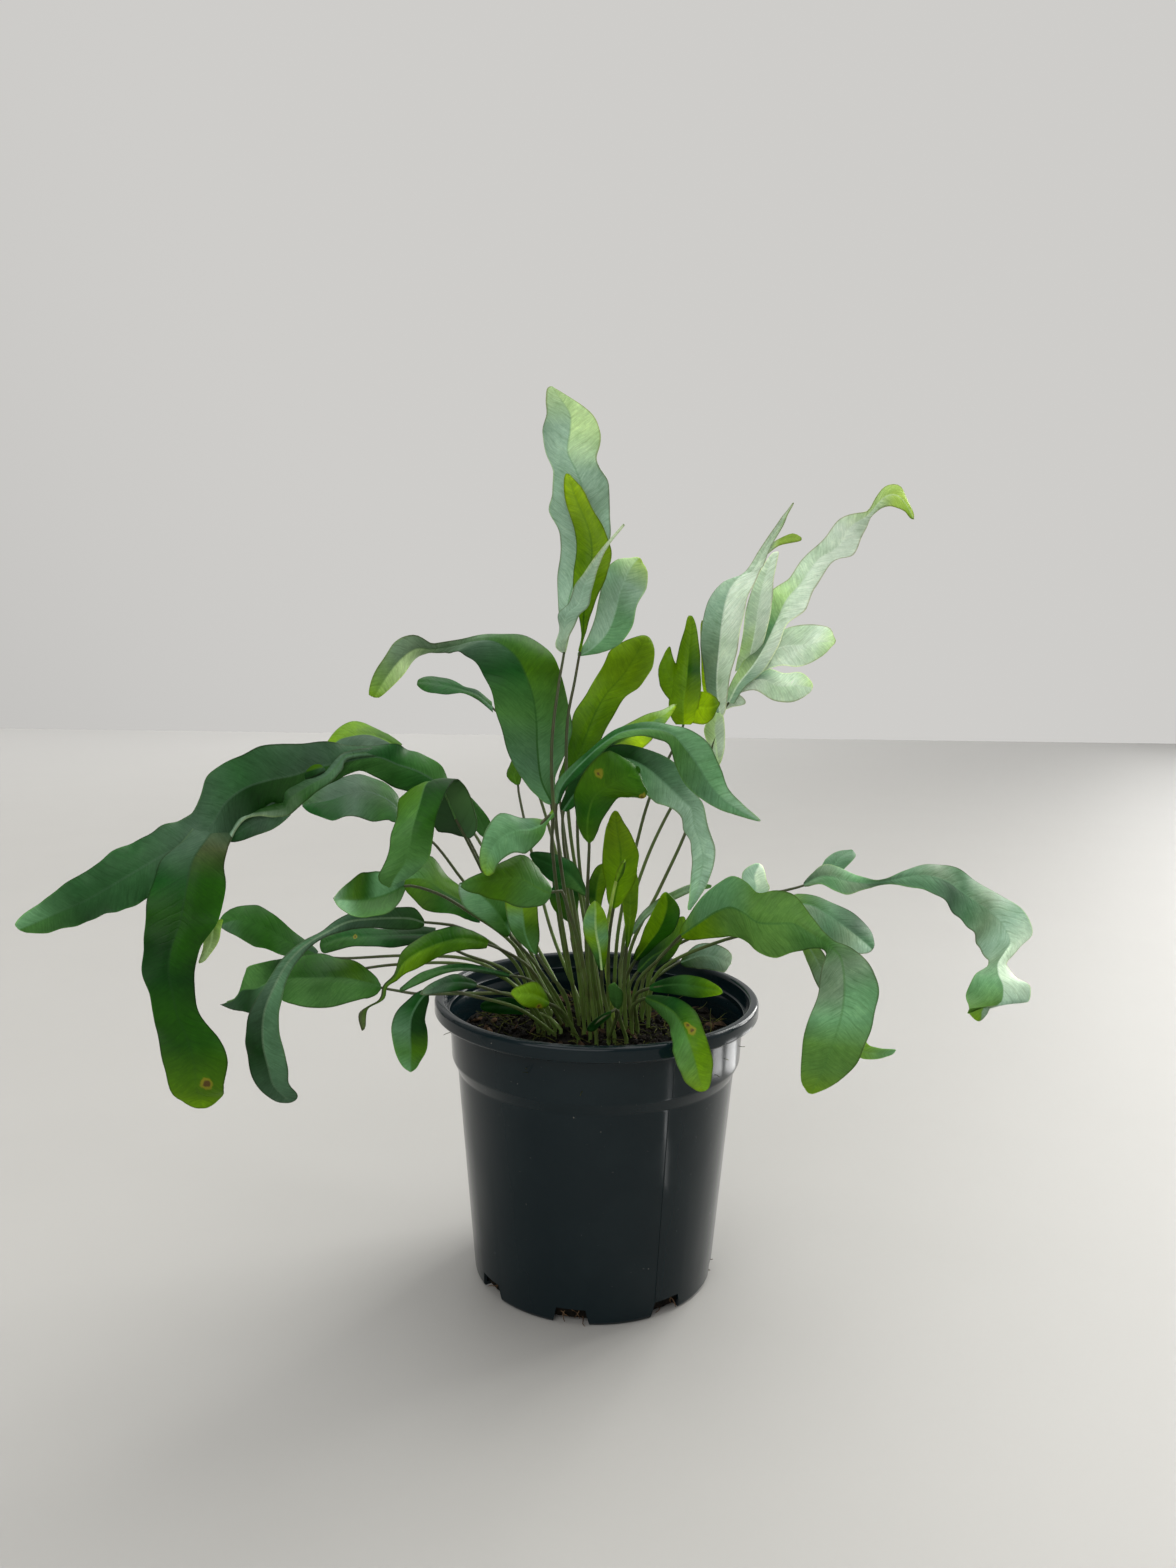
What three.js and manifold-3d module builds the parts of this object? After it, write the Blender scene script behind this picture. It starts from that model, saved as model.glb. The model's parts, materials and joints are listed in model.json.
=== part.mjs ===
// A potted fern: fifty-five fronds in a round nursery pot.
// Millimetres, +Z up, +X to the viewer's right, the viewer stands at -Y.
// The origin is on the pot's axis, in the middle of its flat underside.

import * as THREE from 'three';
import Module from 'manifold-3d';
import { mergeVertices } from 'three/addons/utils/BufferGeometryUtils.js';

const wasm = await Module();
wasm.setup();

// Pot
const POT_HEIGHT = 122.5;
const RIM_RADIUS = 70;
const RIM_INNER_RADIUS = 65.7;
const RIM_ROUNDING = 1;
const LIP_DROP = 6.3;
const LIP_ROUNDING = 0.7;
const COLLAR_RADIUS = 63.5;
const COLLAR_TAPER = 1;
const COLLAR_FOOT = 97;
const STEP_RADIUS = 60;
const STEP_HEIGHT = 91.7;
const BASE_RADIUS = 52.3;
const BASE_ROUNDING = 1.1;
const WALL = 1.5;
const FLOOR = 1.6;
const POT_SEGMENTS = 36;

// Drain notches round the foot
const NOTCHES = 8;
const NOTCH_FIRST_ANGLE = -100;
const NOTCH_WIDTH = 16;
const NOTCH_TOP_WIDTH = 12;
const NOTCH_HEIGHT = 7;
const NOTCH_INNER_RADIUS = 45;
const NOTCH_BELOW = 1;

// Soil
const SOIL_EDGE = 104;
const SOIL_DOME = 8.5;
const SOIL_DOME_SPREAD = 30;
const SOIL_BUMP = 1.1;
const SOIL_SEGMENTS = 28;
const SOIL_RINGS = 3;
const SOIL_GAP = 0.6;
const GAP = 0.35;

// Fronds
const BLADE_THICKNESS = 0.7;
const STALK_RADIUS = 0.85;
const RIB_RADIUS = 0.5;
const STALK_SIDES = 4;
const STALK_STEP = 32;
const FEWEST_STEPS = 4;
const STALK_CLEAR = 2.5;
const RIB_ROWS = 2;
const BURIED = 6;
const HOLE_RADIUS = 1.8;
const HOLE_SIDES = 4;
const HOLE_ABOVE = 4;
const WIDE_BLADE = 23;
const REACH_POWER = 1.5;

// The stalks rise from a staggered bed of spots on the crown.
const SPOT_ACROSS = 5;
const SPOT_FRONT = 4.5;

// The eye that the fronds' places are told from. A point of a frond is given by how far across
// and how far up it is seen on the plane through the pot's axis, and by how far it lies in front
// of that plane.
const EYE_ACROSS = -4.9;
const EYE_DISTANCE = 490.4;
const EYE_HEIGHT = 272.9;

// Colours of the pieces
const POT_COLOUR = 0x14191c;
const SOIL_COLOUR = 0x1d1712;
const TONES = {
  deep: 0x1f4a32,
  mid: 0x35703f,
  grass: 0x5b8f2c,
  blue: 0x4a8570,
  slate: 0x3f6457,
  sage: 0x7ba78c,
  pale: 0xa4c9a2,
  lime: 0x8fb21c,
  olive: 0x55701f,
  fresh: 0x86b84a,
};
const POT_ROUGHNESS = 0.3;
const SOIL_ROUGHNESS = 0.95;
const LEAF_ROUGHNESS = 0.5;

function place(across, up, front) {
  const nearer = 1 - front / EYE_DISTANCE;
  return new THREE.Vector3(
    EYE_ACROSS + (across - EYE_ACROSS) * nearer,
    -front,
    EYE_HEIGHT + (up - EYE_HEIGHT) * nearer,
  );
}

// Each frond has the spot that its stalk rises from, [across, front] in steps of the bed, the
// points that its stalk passes through, [across, up, front], and its blades. A row of a blade is
// [across, up] of one edge, [across, up] of the other, the row's front, and how much nearer the
// second edge is. The cup is how far the midrib stands out, as a share of the half width. The
// reach is how much nearer the whole frond comes from its root to its tip, and the slope is how
// much nearer the blade comes for each millimetre across and up from its foot.
const FRONDS = [
  {
    name: "frond_far_left", tone: "deep", root: [-5, 1], cup: 0.22,
    reach: 45, slope: [0, -0.15],
    stem: [[-36, 150, 6], [-50, 178, 7], [-58, 194, 8]],
    blades: [[
      [-64, 213, -67, 206, 9, 3], [-67, 220, -74, 208, 11, 6], [-74, 226, -82, 210, 14, 9],
      [-81, 227.5, -92, 214, 17, 10], [-88, 230, -101, 218, 21, 10], [-97, 229.5, -106, 217.5, 25, 8],
      [-108, 229.5, -113, 214, 29, 4], [-122, 230.6, -120, 209.5, 33, 0],
      [-134, 229.5, -128, 204.5, 36, -4], [-146, 227.5, -137, 202.5, 38, -6],
      [-158, 222.5, -146, 200, 40, -6], [-167, 214.5, -154, 194, 41, -4], [-172, 203, -160, 186, 42, 0],
      [-178, 197, -168, 177, 42, 4], [-188, 192.5, -180, 171, 42, 6], [-204, 184.5, -194, 162, 41, 4],
      [-215, 177.5, -205, 157, 40, 0], [-225, 170.5, -216, 153, 39, -4], [-235, 164, -227, 149.5, 38, -3],
      [-242.8, 158.2, -237.2, 146, 37, 0], [-251.6, 150.6, -245.4, 146, 36, 0],
    ], [
      [-168, 198, -156, 193, 38, 0], [-178, 188, -158.5, 186, 45, 1], [-188, 179, -160, 178, 48, 2],
      [-192, 168, -161, 168, 50, 4], [-195.8, 152, -164.5, 151, 51, 4], [-197, 140, -172, 140, 52, 2],
      [-197.5, 130, -175, 130, 52, 0], [-195, 120, -175.5, 120, 51, -3], [-194, 110, -172.5, 110, 49, -3],
      [-192, 99, -165.5, 100, 47, 0], [-189.5, 88, -162, 89, 45, 3], [-187.5, 79, -163, 79, 43, 3],
      [-183, 71.5, -165.5, 71.5, 41, 1], [-177, 68, -170, 67.5, 40, 0],
    ], [
      [-134, 206, -132, 199, 34, 0], [-142, 204, -139, 193, 36, 0], [-150, 200, -148, 189.6, 38, 0],
      [-157, 192, -157, 187, 40, 0],
    ], [
      [-171, 153, -162, 153, 53, -4], [-171, 141, -164.4, 143, 49.6, 0],
      [-173, 134, -169.4, 135.6, 50, 0],
    ], [
      [-87, 230.2, -85.4, 225.2, 15.5, 1], [-97.6, 228.4, -96, 224.6, 23, 1],
      [-107.6, 226.4, -107.4, 223.2, 30, 2], [-112.4, 223.6, -109.8, 218.6, 32.5, 3],
      [-117.8, 217.6, -114.6, 213.2, 36, 4], [-125, 214.6, -122.2, 208.2, 38.2, 4],
      [-134.2, 210.2, -128.6, 202, 39, 4], [-135.2, 205.4, -133, 198.4, 37.5, 4],
      [-140.6, 203.4, -139, 198, 37.5, 3], [-146.8, 201, -145.2, 198.6, 38.5, 2],
      [-153, 200, -151, 197.2, 40, 2], [-158.2, 192.6, -155.6, 192, 40.5, 1],
      [-160.8, 185.6, -160, 183, 46, 0],
    ], [
      [-114.4, 223, -114.8, 218.6, 33.5, 0], [-119, 222.4, -118, 217.4, 34.5, 1],
      [-124, 221.8, -123.2, 215, 35.8, 1], [-128, 220.6, -126.6, 214, 36.6, 0],
      [-129, 219, -128.4, 217, 36.8, 0],
    ]],
  },
  {
    name: "frond_left_top_yellow", tone: "lime", root: [-3, -3], cup: 0.2,
    reach: -55, slope: [0, -0.6],
    stem: [[-30, 150, -20], [-52, 190, -24], [-70, 215, -25]],
    blades: [[
      [-84, 230, -86, 226, -24, 0], [-92, 235.5, -93, 227, -22, 4], [-99, 238.8, -99, 226, -20, 6],
      [-106, 238, -105, 225, -18, 6], [-111, 236.3, -110, 224, -16, 4], [-115.5, 231, -114, 223, -14, 0],
      [-117, 226, -116, 223.5, -13, 0],
    ]],
  },
  {
    name: "frond_left_blue", tone: "blue", root: [-4, -1], cup: 0.15,
    reach: -25, slope: [0, -0.7],
    stem: [[-33, 142, -4], [-57, 170, -5], [-71, 188, -3]],
    blades: [[
      [-83, 200, -84, 196.5, -1, 2], [-87.5, 210, -90, 197.2, 2, 6], [-93, 215.5, -96, 197.6, 4, 8],
      [-100, 217, -102, 199.2, 6, 8], [-107, 215.4, -108, 198.2, 8, 7], [-114, 213, -114, 196, 9, 6],
      [-121, 208.5, -121, 198.8, 11, 4], [-126, 205, -126, 202, 12, 2],
    ]],
  },
  {
    name: "frond_left_fold", tone: "mid", root: [-4, 2], cup: 0.2,
    reach: 25, slope: [0, -0.2],
    stem: [[-36, 144, 14], [-50, 176, 20], [-56, 188, 22]],
    blades: [[
      [-60, 191, -55, 190, 24, 0], [-69, 193, -52, 199, 23, 0], [-73, 201, -54.5, 207, 23, -2],
      [-77, 209.5, -59, 214.5, 27, -3], [-85, 208, -62, 214.5, 35, 0], [-86.5, 199, -67, 205, 42, 2],
      [-88.5, 191, -70, 197, 45, 3], [-90, 185, -71.5, 189, 46, 3], [-92.5, 178, -73.5, 180.5, 46, 2],
      [-94.8, 172.5, -80, 173.5, 46, 0], [-91.5, 168.8, -86.5, 170, 46, 0],
    ]],
  },
  {
    name: "frond_left_olive_wide", tone: "olive", root: [-4, 0], cup: 0.18,
    reach: -15, slope: [0, -0.5],
    stem: [[-31, 137, 1], [-42, 149, 3]],
    blades: [[
      [-49, 158, -51, 153, 6, 0], [-58, 168, -60, 155.5, 8, 3], [-65, 174.5, -68, 156.5, 9, 5],
      [-72, 181, -75, 159, 10, 5], [-79, 179, -79.5, 163.5, 11, 3], [-84, 173, -84, 169, 12, 0],
    ]],
  },
  {
    name: "frond_left_spoon", tone: "deep", root: [-1, -3], cup: 0.15,
    reach: -70, slope: [0, -0.6],
    stem: [[-12, 160, -10], [-26, 210, -8], [-38, 238, -6]],
    blades: [[
      [-46, 248.5, -45.5, 244, -4, 0], [-52, 252.8, -52, 249.4, -3, 1], [-58, 254.8, -59, 252, -2, 1],
      [-64, 258, -66, 251, -1, 3], [-70, 259.5, -72, 251.6, 0, 3], [-76, 258, -77, 254.5, 1, 1],
    ]],
  },
  {
    name: "frond_big_left_top", tone: "blue", root: [-2, -1], cup: 0.2,
    reach: 5, slope: [-0.35, -0.15],
    stem: [[-14, 140, 1], [-20, 180, 3]],
    blades: [[
      [-21.5, 205, -19, 206, 6, 0], [-32, 215, -18.5, 217, 9, 1], [-40, 230, -14.5, 229, 12, 2],
      [-44, 242, -12, 239, 14, 2], [-46, 252, -13.5, 250, 15, 1], [-49, 260, -18, 262, 15, 0],
      [-53, 265, -23, 270.5, 14, -2], [-57, 267.5, -32, 277, 13, -3], [-61, 268.6, -44, 277.5, 12, -3],
      [-65, 269, -58, 275, 12, 0], [-72, 268.8, -71, 272.6, 13, 4], [-77, 266.5, -79, 276, 14, 8],
      [-82, 262, -87, 272.5, 16, 8], [-86.5, 256.5, -94, 263.5, 18, 5], [-92.5, 250.5, -98, 252, 20, 1],
    ]],
  },
  {
    name: "frond_small_oval_back", tone: "olive", root: [-2, -3], cup: 0.1,
    reach: -45, slope: [0.3, -0.4],
    stem: [[-20, 150, -14], [-30, 190, -13], [-34, 208, -12]],
    blades: [[
      [-36, 213.5, -34, 213.5, -11, 0], [-39.5, 217, -33, 217, -11, 2], [-38.5, 222, -30, 223, -10, 2],
      [-35, 227, -29, 228, -9, 1],
    ]],
  },
  {
    name: "frond_left_cup", tone: "mid", root: [-4, 3], cup: -0.35,
    reach: 30, slope: [0, -0.5],
    stem: [[-35, 142, 16], [-56, 158, 21], [-70, 166, 23]],
    blades: [[
      [-83, 171, -83, 167, 25, 0], [-88, 174, -86, 161, 27, 4], [-95, 175.5, -93, 155.6, 29, 8],
      [-101, 174.5, -101, 154, 31, 8], [-106.5, 170.5, -108, 157, 33, 6], [-112.5, 165, -113, 161, 35, 0],
    ]],
  },
  {
    name: "frond_left_grey", tone: "slate", root: [-5, 2], cup: 0.18,
    reach: 35, slope: [0, 0],
    stem: [[-36, 136, 15], [-60, 151, 18], [-69, 152.5, 19]],
    blades: [[
      [-75, 154, -75, 151.4, 20, 0], [-80, 159.5, -82, 149.6, 22, 3], [-88, 159.5, -89, 149.7, 24, 4],
      [-98, 158, -99, 149.9, 27, 4], [-108, 156, -108, 149, 30, 4], [-118.5, 149, -116, 146.5, 33, 3],
      [-128, 143.5, -125, 140.6, 35, 2], [-137, 135.5, -131, 133.5, 36, 2], [-144, 125, -135.5, 124, 37, 3],
      [-151, 112, -138.5, 112, 37, 4], [-153.8, 99, -137.6, 99, 36, 4], [-152, 88, -135.5, 88, 35, 3],
      [-149, 78.5, -134.5, 80, 34, 1], [-142, 72, -131, 74.5, 33, 0],
    ]],
  },
  {
    name: "frond_left_leaf_a", tone: "mid", root: [-5, 3], cup: 0.15,
    reach: 10, slope: [0, -0.7],
    stem: [[-34, 120.5, 26], [-55, 121.5, 30], [-78, 121, 25], [-88, 122.5, 21]],
    blades: [[
      [-94, 125, -94, 122.8, 19, 0], [-99.5, 131.6, -99.5, 118.4, 17, 2], [-107, 136, -108, 116.8, 15, 3],
      [-115, 138, -118, 115.3, 13, 3], [-122, 138.3, -127, 114, 11, 3], [-128, 137, -135, 115.5, 9, 2],
      [-135, 131, -139, 119, 8, 0],
    ]],
  },
  {
    name: "frond_left_leaf_b", tone: "mid", root: [-5, -1], cup: 0.15,
    reach: -60, slope: [0, -0.5],
    stem: [[-50, 135, 0], [-80, 138, -2], [-112, 136.5, -2]],
    blades: [[
      [-121, 139.5, -122, 136.5, -2, 0], [-131.6, 148, -134, 137, -2, 2], [-140, 156, -141.5, 139, -2, 3],
      [-147.5, 160, -149, 141.5, -1, 3], [-155, 159, -156.5, 146, 0, 2], [-163.5, 152, -162, 148.8, 1, 0],
    ]],
  },
  {
    name: "frond_left_back_tip", tone: "deep", root: [-4, -2], cup: 0.12,
    reach: -35, slope: [0, -0.4],
    stem: [[-50, 133, -14], [-87, 134, -18], [-112, 130, -18]],
    blades: [[
      [-124, 131, -124, 126, -18, 0], [-134, 136, -136, 119, -18, 2], [-141, 136, -143, 114, -18, 3],
      [-147, 133.5, -149, 110.5, -17, 3], [-152.5, 131, -155, 112, -16, 2], [-153.5, 124, -160, 113, -16, 0],
      [-157.5, 117.5, -164, 115, -15, 0],
    ]],
  },
  {
    name: "frond_left_dark_long", tone: "deep", root: [-5, 0], cup: 0.15,
    reach: 0, slope: [0, -0.7],
    stem: [[-38, 131, 4], [-60, 140, 6]],
    blades: [[
      [-70, 150.5, -70, 143.6, 9, 0], [-80, 151, -80, 142.6, 10, 2], [-90, 150.5, -90, 142, 11, 3],
      [-100, 150, -100, 141.6, 12, 3], [-110, 149.8, -110, 141, 13, 2], [-118, 147, -118, 138.6, 14, 0],
    ]],
  },
  {
    name: "frond_left_olive", tone: "olive", root: [-3, 2], cup: 0.18,
    reach: 25, slope: [0, -0.6],
    stem: [[-29, 133, 18], [-38, 139.5, 21]],
    blades: [[
      [-47, 145.5, -48, 141.8, 24, 0], [-55, 150, -57, 141, 27, 2], [-62, 151, -66, 138.6, 30, 3],
      [-70, 149.6, -74, 134.6, 33, 3], [-78, 145.5, -80, 131.6, 35, 2], [-85, 139, -84.5, 128.8, 36, 1],
      [-88, 130, -87.5, 126.4, 37, 0], [-93, 124.5, -91, 124, 38, 0], [-95, 118, -92.6, 118.5, 38, 0],
      [-103.5, 112, -99.5, 114, 37, 0], [-102.6, 104.8, -100.8, 106, 37, 0],
    ]],
  },
  {
    name: "frond_left_low_a", tone: "blue", root: [-3, 3], cup: 0.12,
    reach: 35, slope: [0, -0.8],
    stem: [[-24, 124, 30], [-32, 129, 34]],
    blades: [[
      [-38, 131, -38, 128.8, 37, 0], [-48, 133.4, -48, 130.6, 39, 1], [-57, 134.6, -58, 131.4, 41, 1],
      [-66, 134, -68, 129.6, 43, 2], [-75, 131.4, -76, 126.2, 44, 2], [-84.5, 124.5, -84.5, 122, 45, 0],
    ]],
  },
  {
    name: "frond_left_low_b", tone: "blue", root: [-4, 4], cup: 0.12,
    reach: 30, slope: [0, -0.8],
    stem: [[-30, 118.5, 28], [-42, 122, 33]],
    blades: [[
      [-52, 126.4, -52.5, 124.2, 37, 0], [-57, 129, -58, 123.2, 38, 1], [-63, 129.7, -65, 122, 39, 2],
      [-70, 127, -71, 121, 40, 1], [-76, 122.4, -75.5, 120.6, 41, 0],
    ]],
  },
  {
    name: "frond_left_low_c", tone: "mid", root: [-4, 5], cup: 0.2,
    reach: 20, slope: [0, 0],
    stem: [[-34, 115, 35], [-52, 120, 42], [-66, 122.8, 43]],
    blades: [[
      [-74, 123.2, -73, 121, 43, 0], [-81, 119.4, -73.2, 117, 44, 1], [-87, 113, -74.6, 110, 45, 2],
      [-89.3, 105, -73.8, 104, 45, 3], [-88, 96, -74.4, 96, 44, 3], [-85.8, 89.6, -77, 90.5, 43, 1],
      [-82.6, 86.4, -79.6, 86.6, 43, 0],
    ]],
  },
  {
    name: "frond_front_fold", tone: "mid", root: [-2, 3], cup: 0.15,
    reach: 30, slope: [0, -0.4],
    stem: [[-13, 140, 26], [-18, 170, 34], [-20, 190, 38]],
    blades: [[
      [-20, 203, -19, 200, 41, 0], [-24.5, 198.4, -22.6, 195.5, 43, 2], [-33, 199.4, -26, 188, 46, 4],
      [-41.5, 201.5, -31, 184.2, 50, 4], [-47.5, 195, -38, 183.4, 54, 3], [-51, 186, -43.5, 178, 57, 1],
      [-49.6, 175.4, -46, 174.2, 59, 0],
    ]],
  },
  {
    name: "frond_front_big", tone: "grass", root: [-1, 5], cup: 0.22,
    reach: 40, slope: [0, -0.9],
    stem: [[-6, 135, 32], [-13, 160, 36], [-16.5, 168, 38]],
    blades: [[
      [-20, 168.5, -21, 164, 40, 0], [-22.6, 172.5, -24, 161, 42, 2], [-27, 178, -31, 160.2, 45, 4],
      [-33, 183.4, -38, 161, 48, 4], [-40, 180.6, -44.5, 162.8, 51, 3], [-48, 175.8, -51, 165.6, 53, 1],
      [-58.5, 170.2, -58, 167.8, 54, 0],
    ]],
  },
  {
    name: "frond_front_under", tone: "blue", root: [-3, 1], cup: 0.15,
    reach: 15, slope: [0, -0.4],
    stem: [[-18, 122, 14], [-29, 138, 22]],
    blades: [[
      [-37.5, 150, -38.5, 147, 27, 0], [-37, 158, -46, 151, 30, 2], [-39, 165, -52, 155.3, 33, 3],
      [-45, 171, -57, 159.5, 36, 3], [-52, 172, -59.5, 164.5, 38, 1], [-58, 171, -60, 168.6, 39, 0],
    ]],
  },
  {
    name: "frond_front_tongue", tone: "grass", root: [-2, 4], cup: 0.15,
    reach: 20, slope: [0, -0.3],
    stem: [[-14, 122, 27], [-20, 130, 31]],
    blades: [[
      [-27.5, 139.6, -26, 139, 34, 0], [-32.6, 143.5, -25.6, 142.5, 35, 1], [-38, 150, -25, 149, 36, 1],
      [-39.4, 157, -25.5, 157, 37, 0], [-40, 164, -27, 164, 38, 0],
    ]],
  },
  {
    name: "frond_dark_centre", tone: "deep", root: [0, 3], cup: 0.15,
    reach: 12, slope: [0, -0.3],
    stem: [[-2, 135, 22], [-3.5, 155, 25]],
    blades: [[
      [-4.8, 167.6, -5.8, 165.4, 26, 0], [-7.5, 174, -10, 167.6, 26, 2], [-11, 180.5, -15, 169.8, 26, 3],
      [-17, 183.3, -21, 172.4, 27, 3], [-24, 184.4, -26, 177, 29, 1], [-29, 184, -28.4, 181, 31, 0],
    ]],
  },
  {
    name: "frond_dark_back", tone: "olive", root: [-1, 1], cup: 0.12,
    reach: 0, slope: [0, 0],
    stem: [[-7, 130, 7], [-11, 146, 7]],
    blades: [[
      [-13, 154, -10, 153.4, 8, 0], [-19.5, 160, -9, 158, 8, 0], [-21, 166, -8, 165, 8, 0],
      [-17, 172, -7.5, 171, 8, 0],
    ]],
  },
  {
    name: "frond_left_back_olive", tone: "olive", root: [-3, 0], cup: 0.12,
    reach: -25, slope: [0, -0.4],
    stem: [[-31, 145, 3], [-42, 172, 4]],
    blades: [[
      [-48.8, 190, -47.6, 190, 5, 0], [-55, 197, -46, 196.4, 6, 0], [-58, 204.6, -50, 202.4, 7, 0],
      [-60, 211, -56, 209, 8, 0],
    ]],
  },
  {
    name: "frond_back_small", tone: "fresh", root: [0, -3], cup: 0.12,
    reach: -15, slope: [0, 0],
    stem: [[-1, 140, -13]],
    blades: [[
      [-1.2, 157.2, 0, 157, -12, 0], [-3.8, 164, 2, 163, -12, 0], [-4.2, 171, 3.4, 170, -11, 0],
      [-1.8, 177, 3.6, 176, -10, 0], [0.8, 179.4, 3, 178.6, -9, 0],
    ]],
  },
  {
    name: "frond_centre_lime", tone: "lime", root: [-1, -2], cup: 0.2,
    reach: -35, slope: [-0.4, 0],
    stem: [[-8, 150, -6], [-15, 195, -7]],
    blades: [[
      [-17.5, 214, -15.5, 213, -6, 0], [-15.5, 224, -6, 223, -5, 2], [-13, 236, 0, 232, -3, 3],
      [-10.5, 245, 5, 242, -1, 4], [-6, 253, 10, 251, 0, 4], [-1, 262, 17, 256.5, 1, 3],
      [3, 269.6, 21.8, 263, 3, 2], [8, 273.6, 22.4, 268.5, 4, 1], [14, 276.4, 21.4, 274, 5, 0],
    ]],
  },
  {
    name: "frond_top_tall", tone: "pale", root: [-1, 2], cup: 0.15,
    reach: -12, slope: [0.2, 0],
    stem: [[-10, 150, 17], [-19, 200, 24], [-20.5, 230, 25], [-18, 255, 22]],
    blades: [[
      [-16.6, 270, -15, 270, 18, 0], [-17, 280, -12.5, 280, 17, 0], [-18.6, 290, -9, 289, 17, 2],
      [-18.6, 299, -4, 298, 17, 4], [-17.3, 309, 1.6, 308, 18, 2], [-18.4, 319, 2.6, 318, 19, -2],
      [-22.9, 328, 2.7, 329, 19, -5], [-20.8, 336, 2.7, 339, 20, -3], [-20.8, 344, -1.5, 345, 21, 2],
      [-25, 352, -3.6, 351.5, 21, 5], [-25.8, 360, -1.2, 359.5, 21, 3], [-23.4, 367, -4.5, 366.5, 22, 0],
      [-24, 373, -12, 372, 23, -2], [-23, 377.5, -19.5, 376.5, 24, 0],
    ], [
      [-16.8, 269.5, -15, 269.5, 19, 0], [-19.3, 272.5, -14.4, 273, 23, 3], [-18.4, 279, -12.4, 279, 27, 5],
      [-18.6, 285.6, -10, 285, 30, 5], [-13.6, 290.4, -5.6, 289, 32, 3], [-11, 298, -4, 296, 33, 0],
      [-7, 303.4, -2.6, 303, 33, -3], [-2, 310.8, 0, 309.4, 32, -2], [2.6, 316.6, 3.6, 315.8, 31, 0],
      [7.8, 322.6, 8.6, 322, 30, 0],
    ]],
  },
  {
    name: "frond_top_round", tone: "pale", root: [0, 2], cup: 0.15,
    reach: -6, slope: [0.2, 0],
    stem: [[-5, 150, 13], [-13, 200, 19], [-14, 240, 19], [-11, 258, 17]],
    blades: [[
      [-9.8, 270.4, -8.6, 270, 17, 0], [-8.6, 277.6, -7, 277, 18, 0], [-10, 286, -5, 285, 20, 1],
      [-11.6, 295, -1.4, 294, 21, 2], [-11.8, 304, 2.2, 302, 22, 2], [-11.4, 313, 3.2, 312, 22, 2],
      [-12.2, 321, 0.6, 320.6, 22, 1], [-14, 327, -4, 328.6, 22, 0], [-16, 334, -8.6, 336.6, 22, 0],
      [-16, 342.6, -13, 341.6, 22, 0],
    ], [
      [-10, 268.4, -8.6, 268.2, 17, 0], [-7, 274, 0, 269.8, 15.5, -2], [-3.5, 283, 7.6, 273.2, 12, -3],
      [-1.6, 291, 12.4, 281, 10, -2], [0.4, 299, 14.6, 289.6, 9, 0], [2.2, 305.6, 18.4, 297, 8, 2],
      [6, 308.6, 19, 303, 7, 1], [11, 309, 17, 306.6, 6, 0],
    ]],
  },
  {
    name: "frond_right_lime_lobed", tone: "lime", root: [1, -1], cup: 0.15,
    reach: -25, slope: [0.4, 0],
    stem: [[9, 150, -3], [16, 187, -2], [22, 210, -1]],
    blades: [[
      [32, 240, 38.4, 240, 0, 0], [29.2, 244.4, 41.2, 243.8, 0.6, 0], [28.4, 249.4, 42, 249.6, 1, 1],
      [30.4, 256.8, 42, 257.8, 2, 2], [31.8, 265.2, 41.6, 265, 2, 2], [33, 273.8, 41.2, 273.2, 3, 1],
      [34.8, 280.4, 40, 280, 4, 0], [36, 285.2, 38.2, 285, 5, 0],
    ], [
      [31, 248.6, 32.8, 265.2, 1.5, 0], [27.2, 252.8, 31.2, 265.8, 3, 1],
      [24.4, 258.4, 30.2, 268.2, 5, 1], [24.2, 264, 29.4, 270.6, 6, 0], [26.4, 269.4, 28.8, 272.6, 7, 0],
    ], [
      [39.2, 240.6, 41.2, 254.2, 1.5, 0], [44, 240.2, 45.2, 253.6, 4, 1], [47.4, 242.4, 48, 252.2, 6, 1],
      [49.2, 246.4, 49.6, 250.4, 7, 0],
    ]],
  },
  {
    name: "frond_right_top_lobed", tone: "pale", root: [2, -2], cup: 0.15, rib: 8,
    reach: -70, slope: [0.3, 0],
    stem: [[12, 150, -10], [20, 180, -15], [30, 203, -19], [43, 226, -20], [50, 243, -18]],
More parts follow.
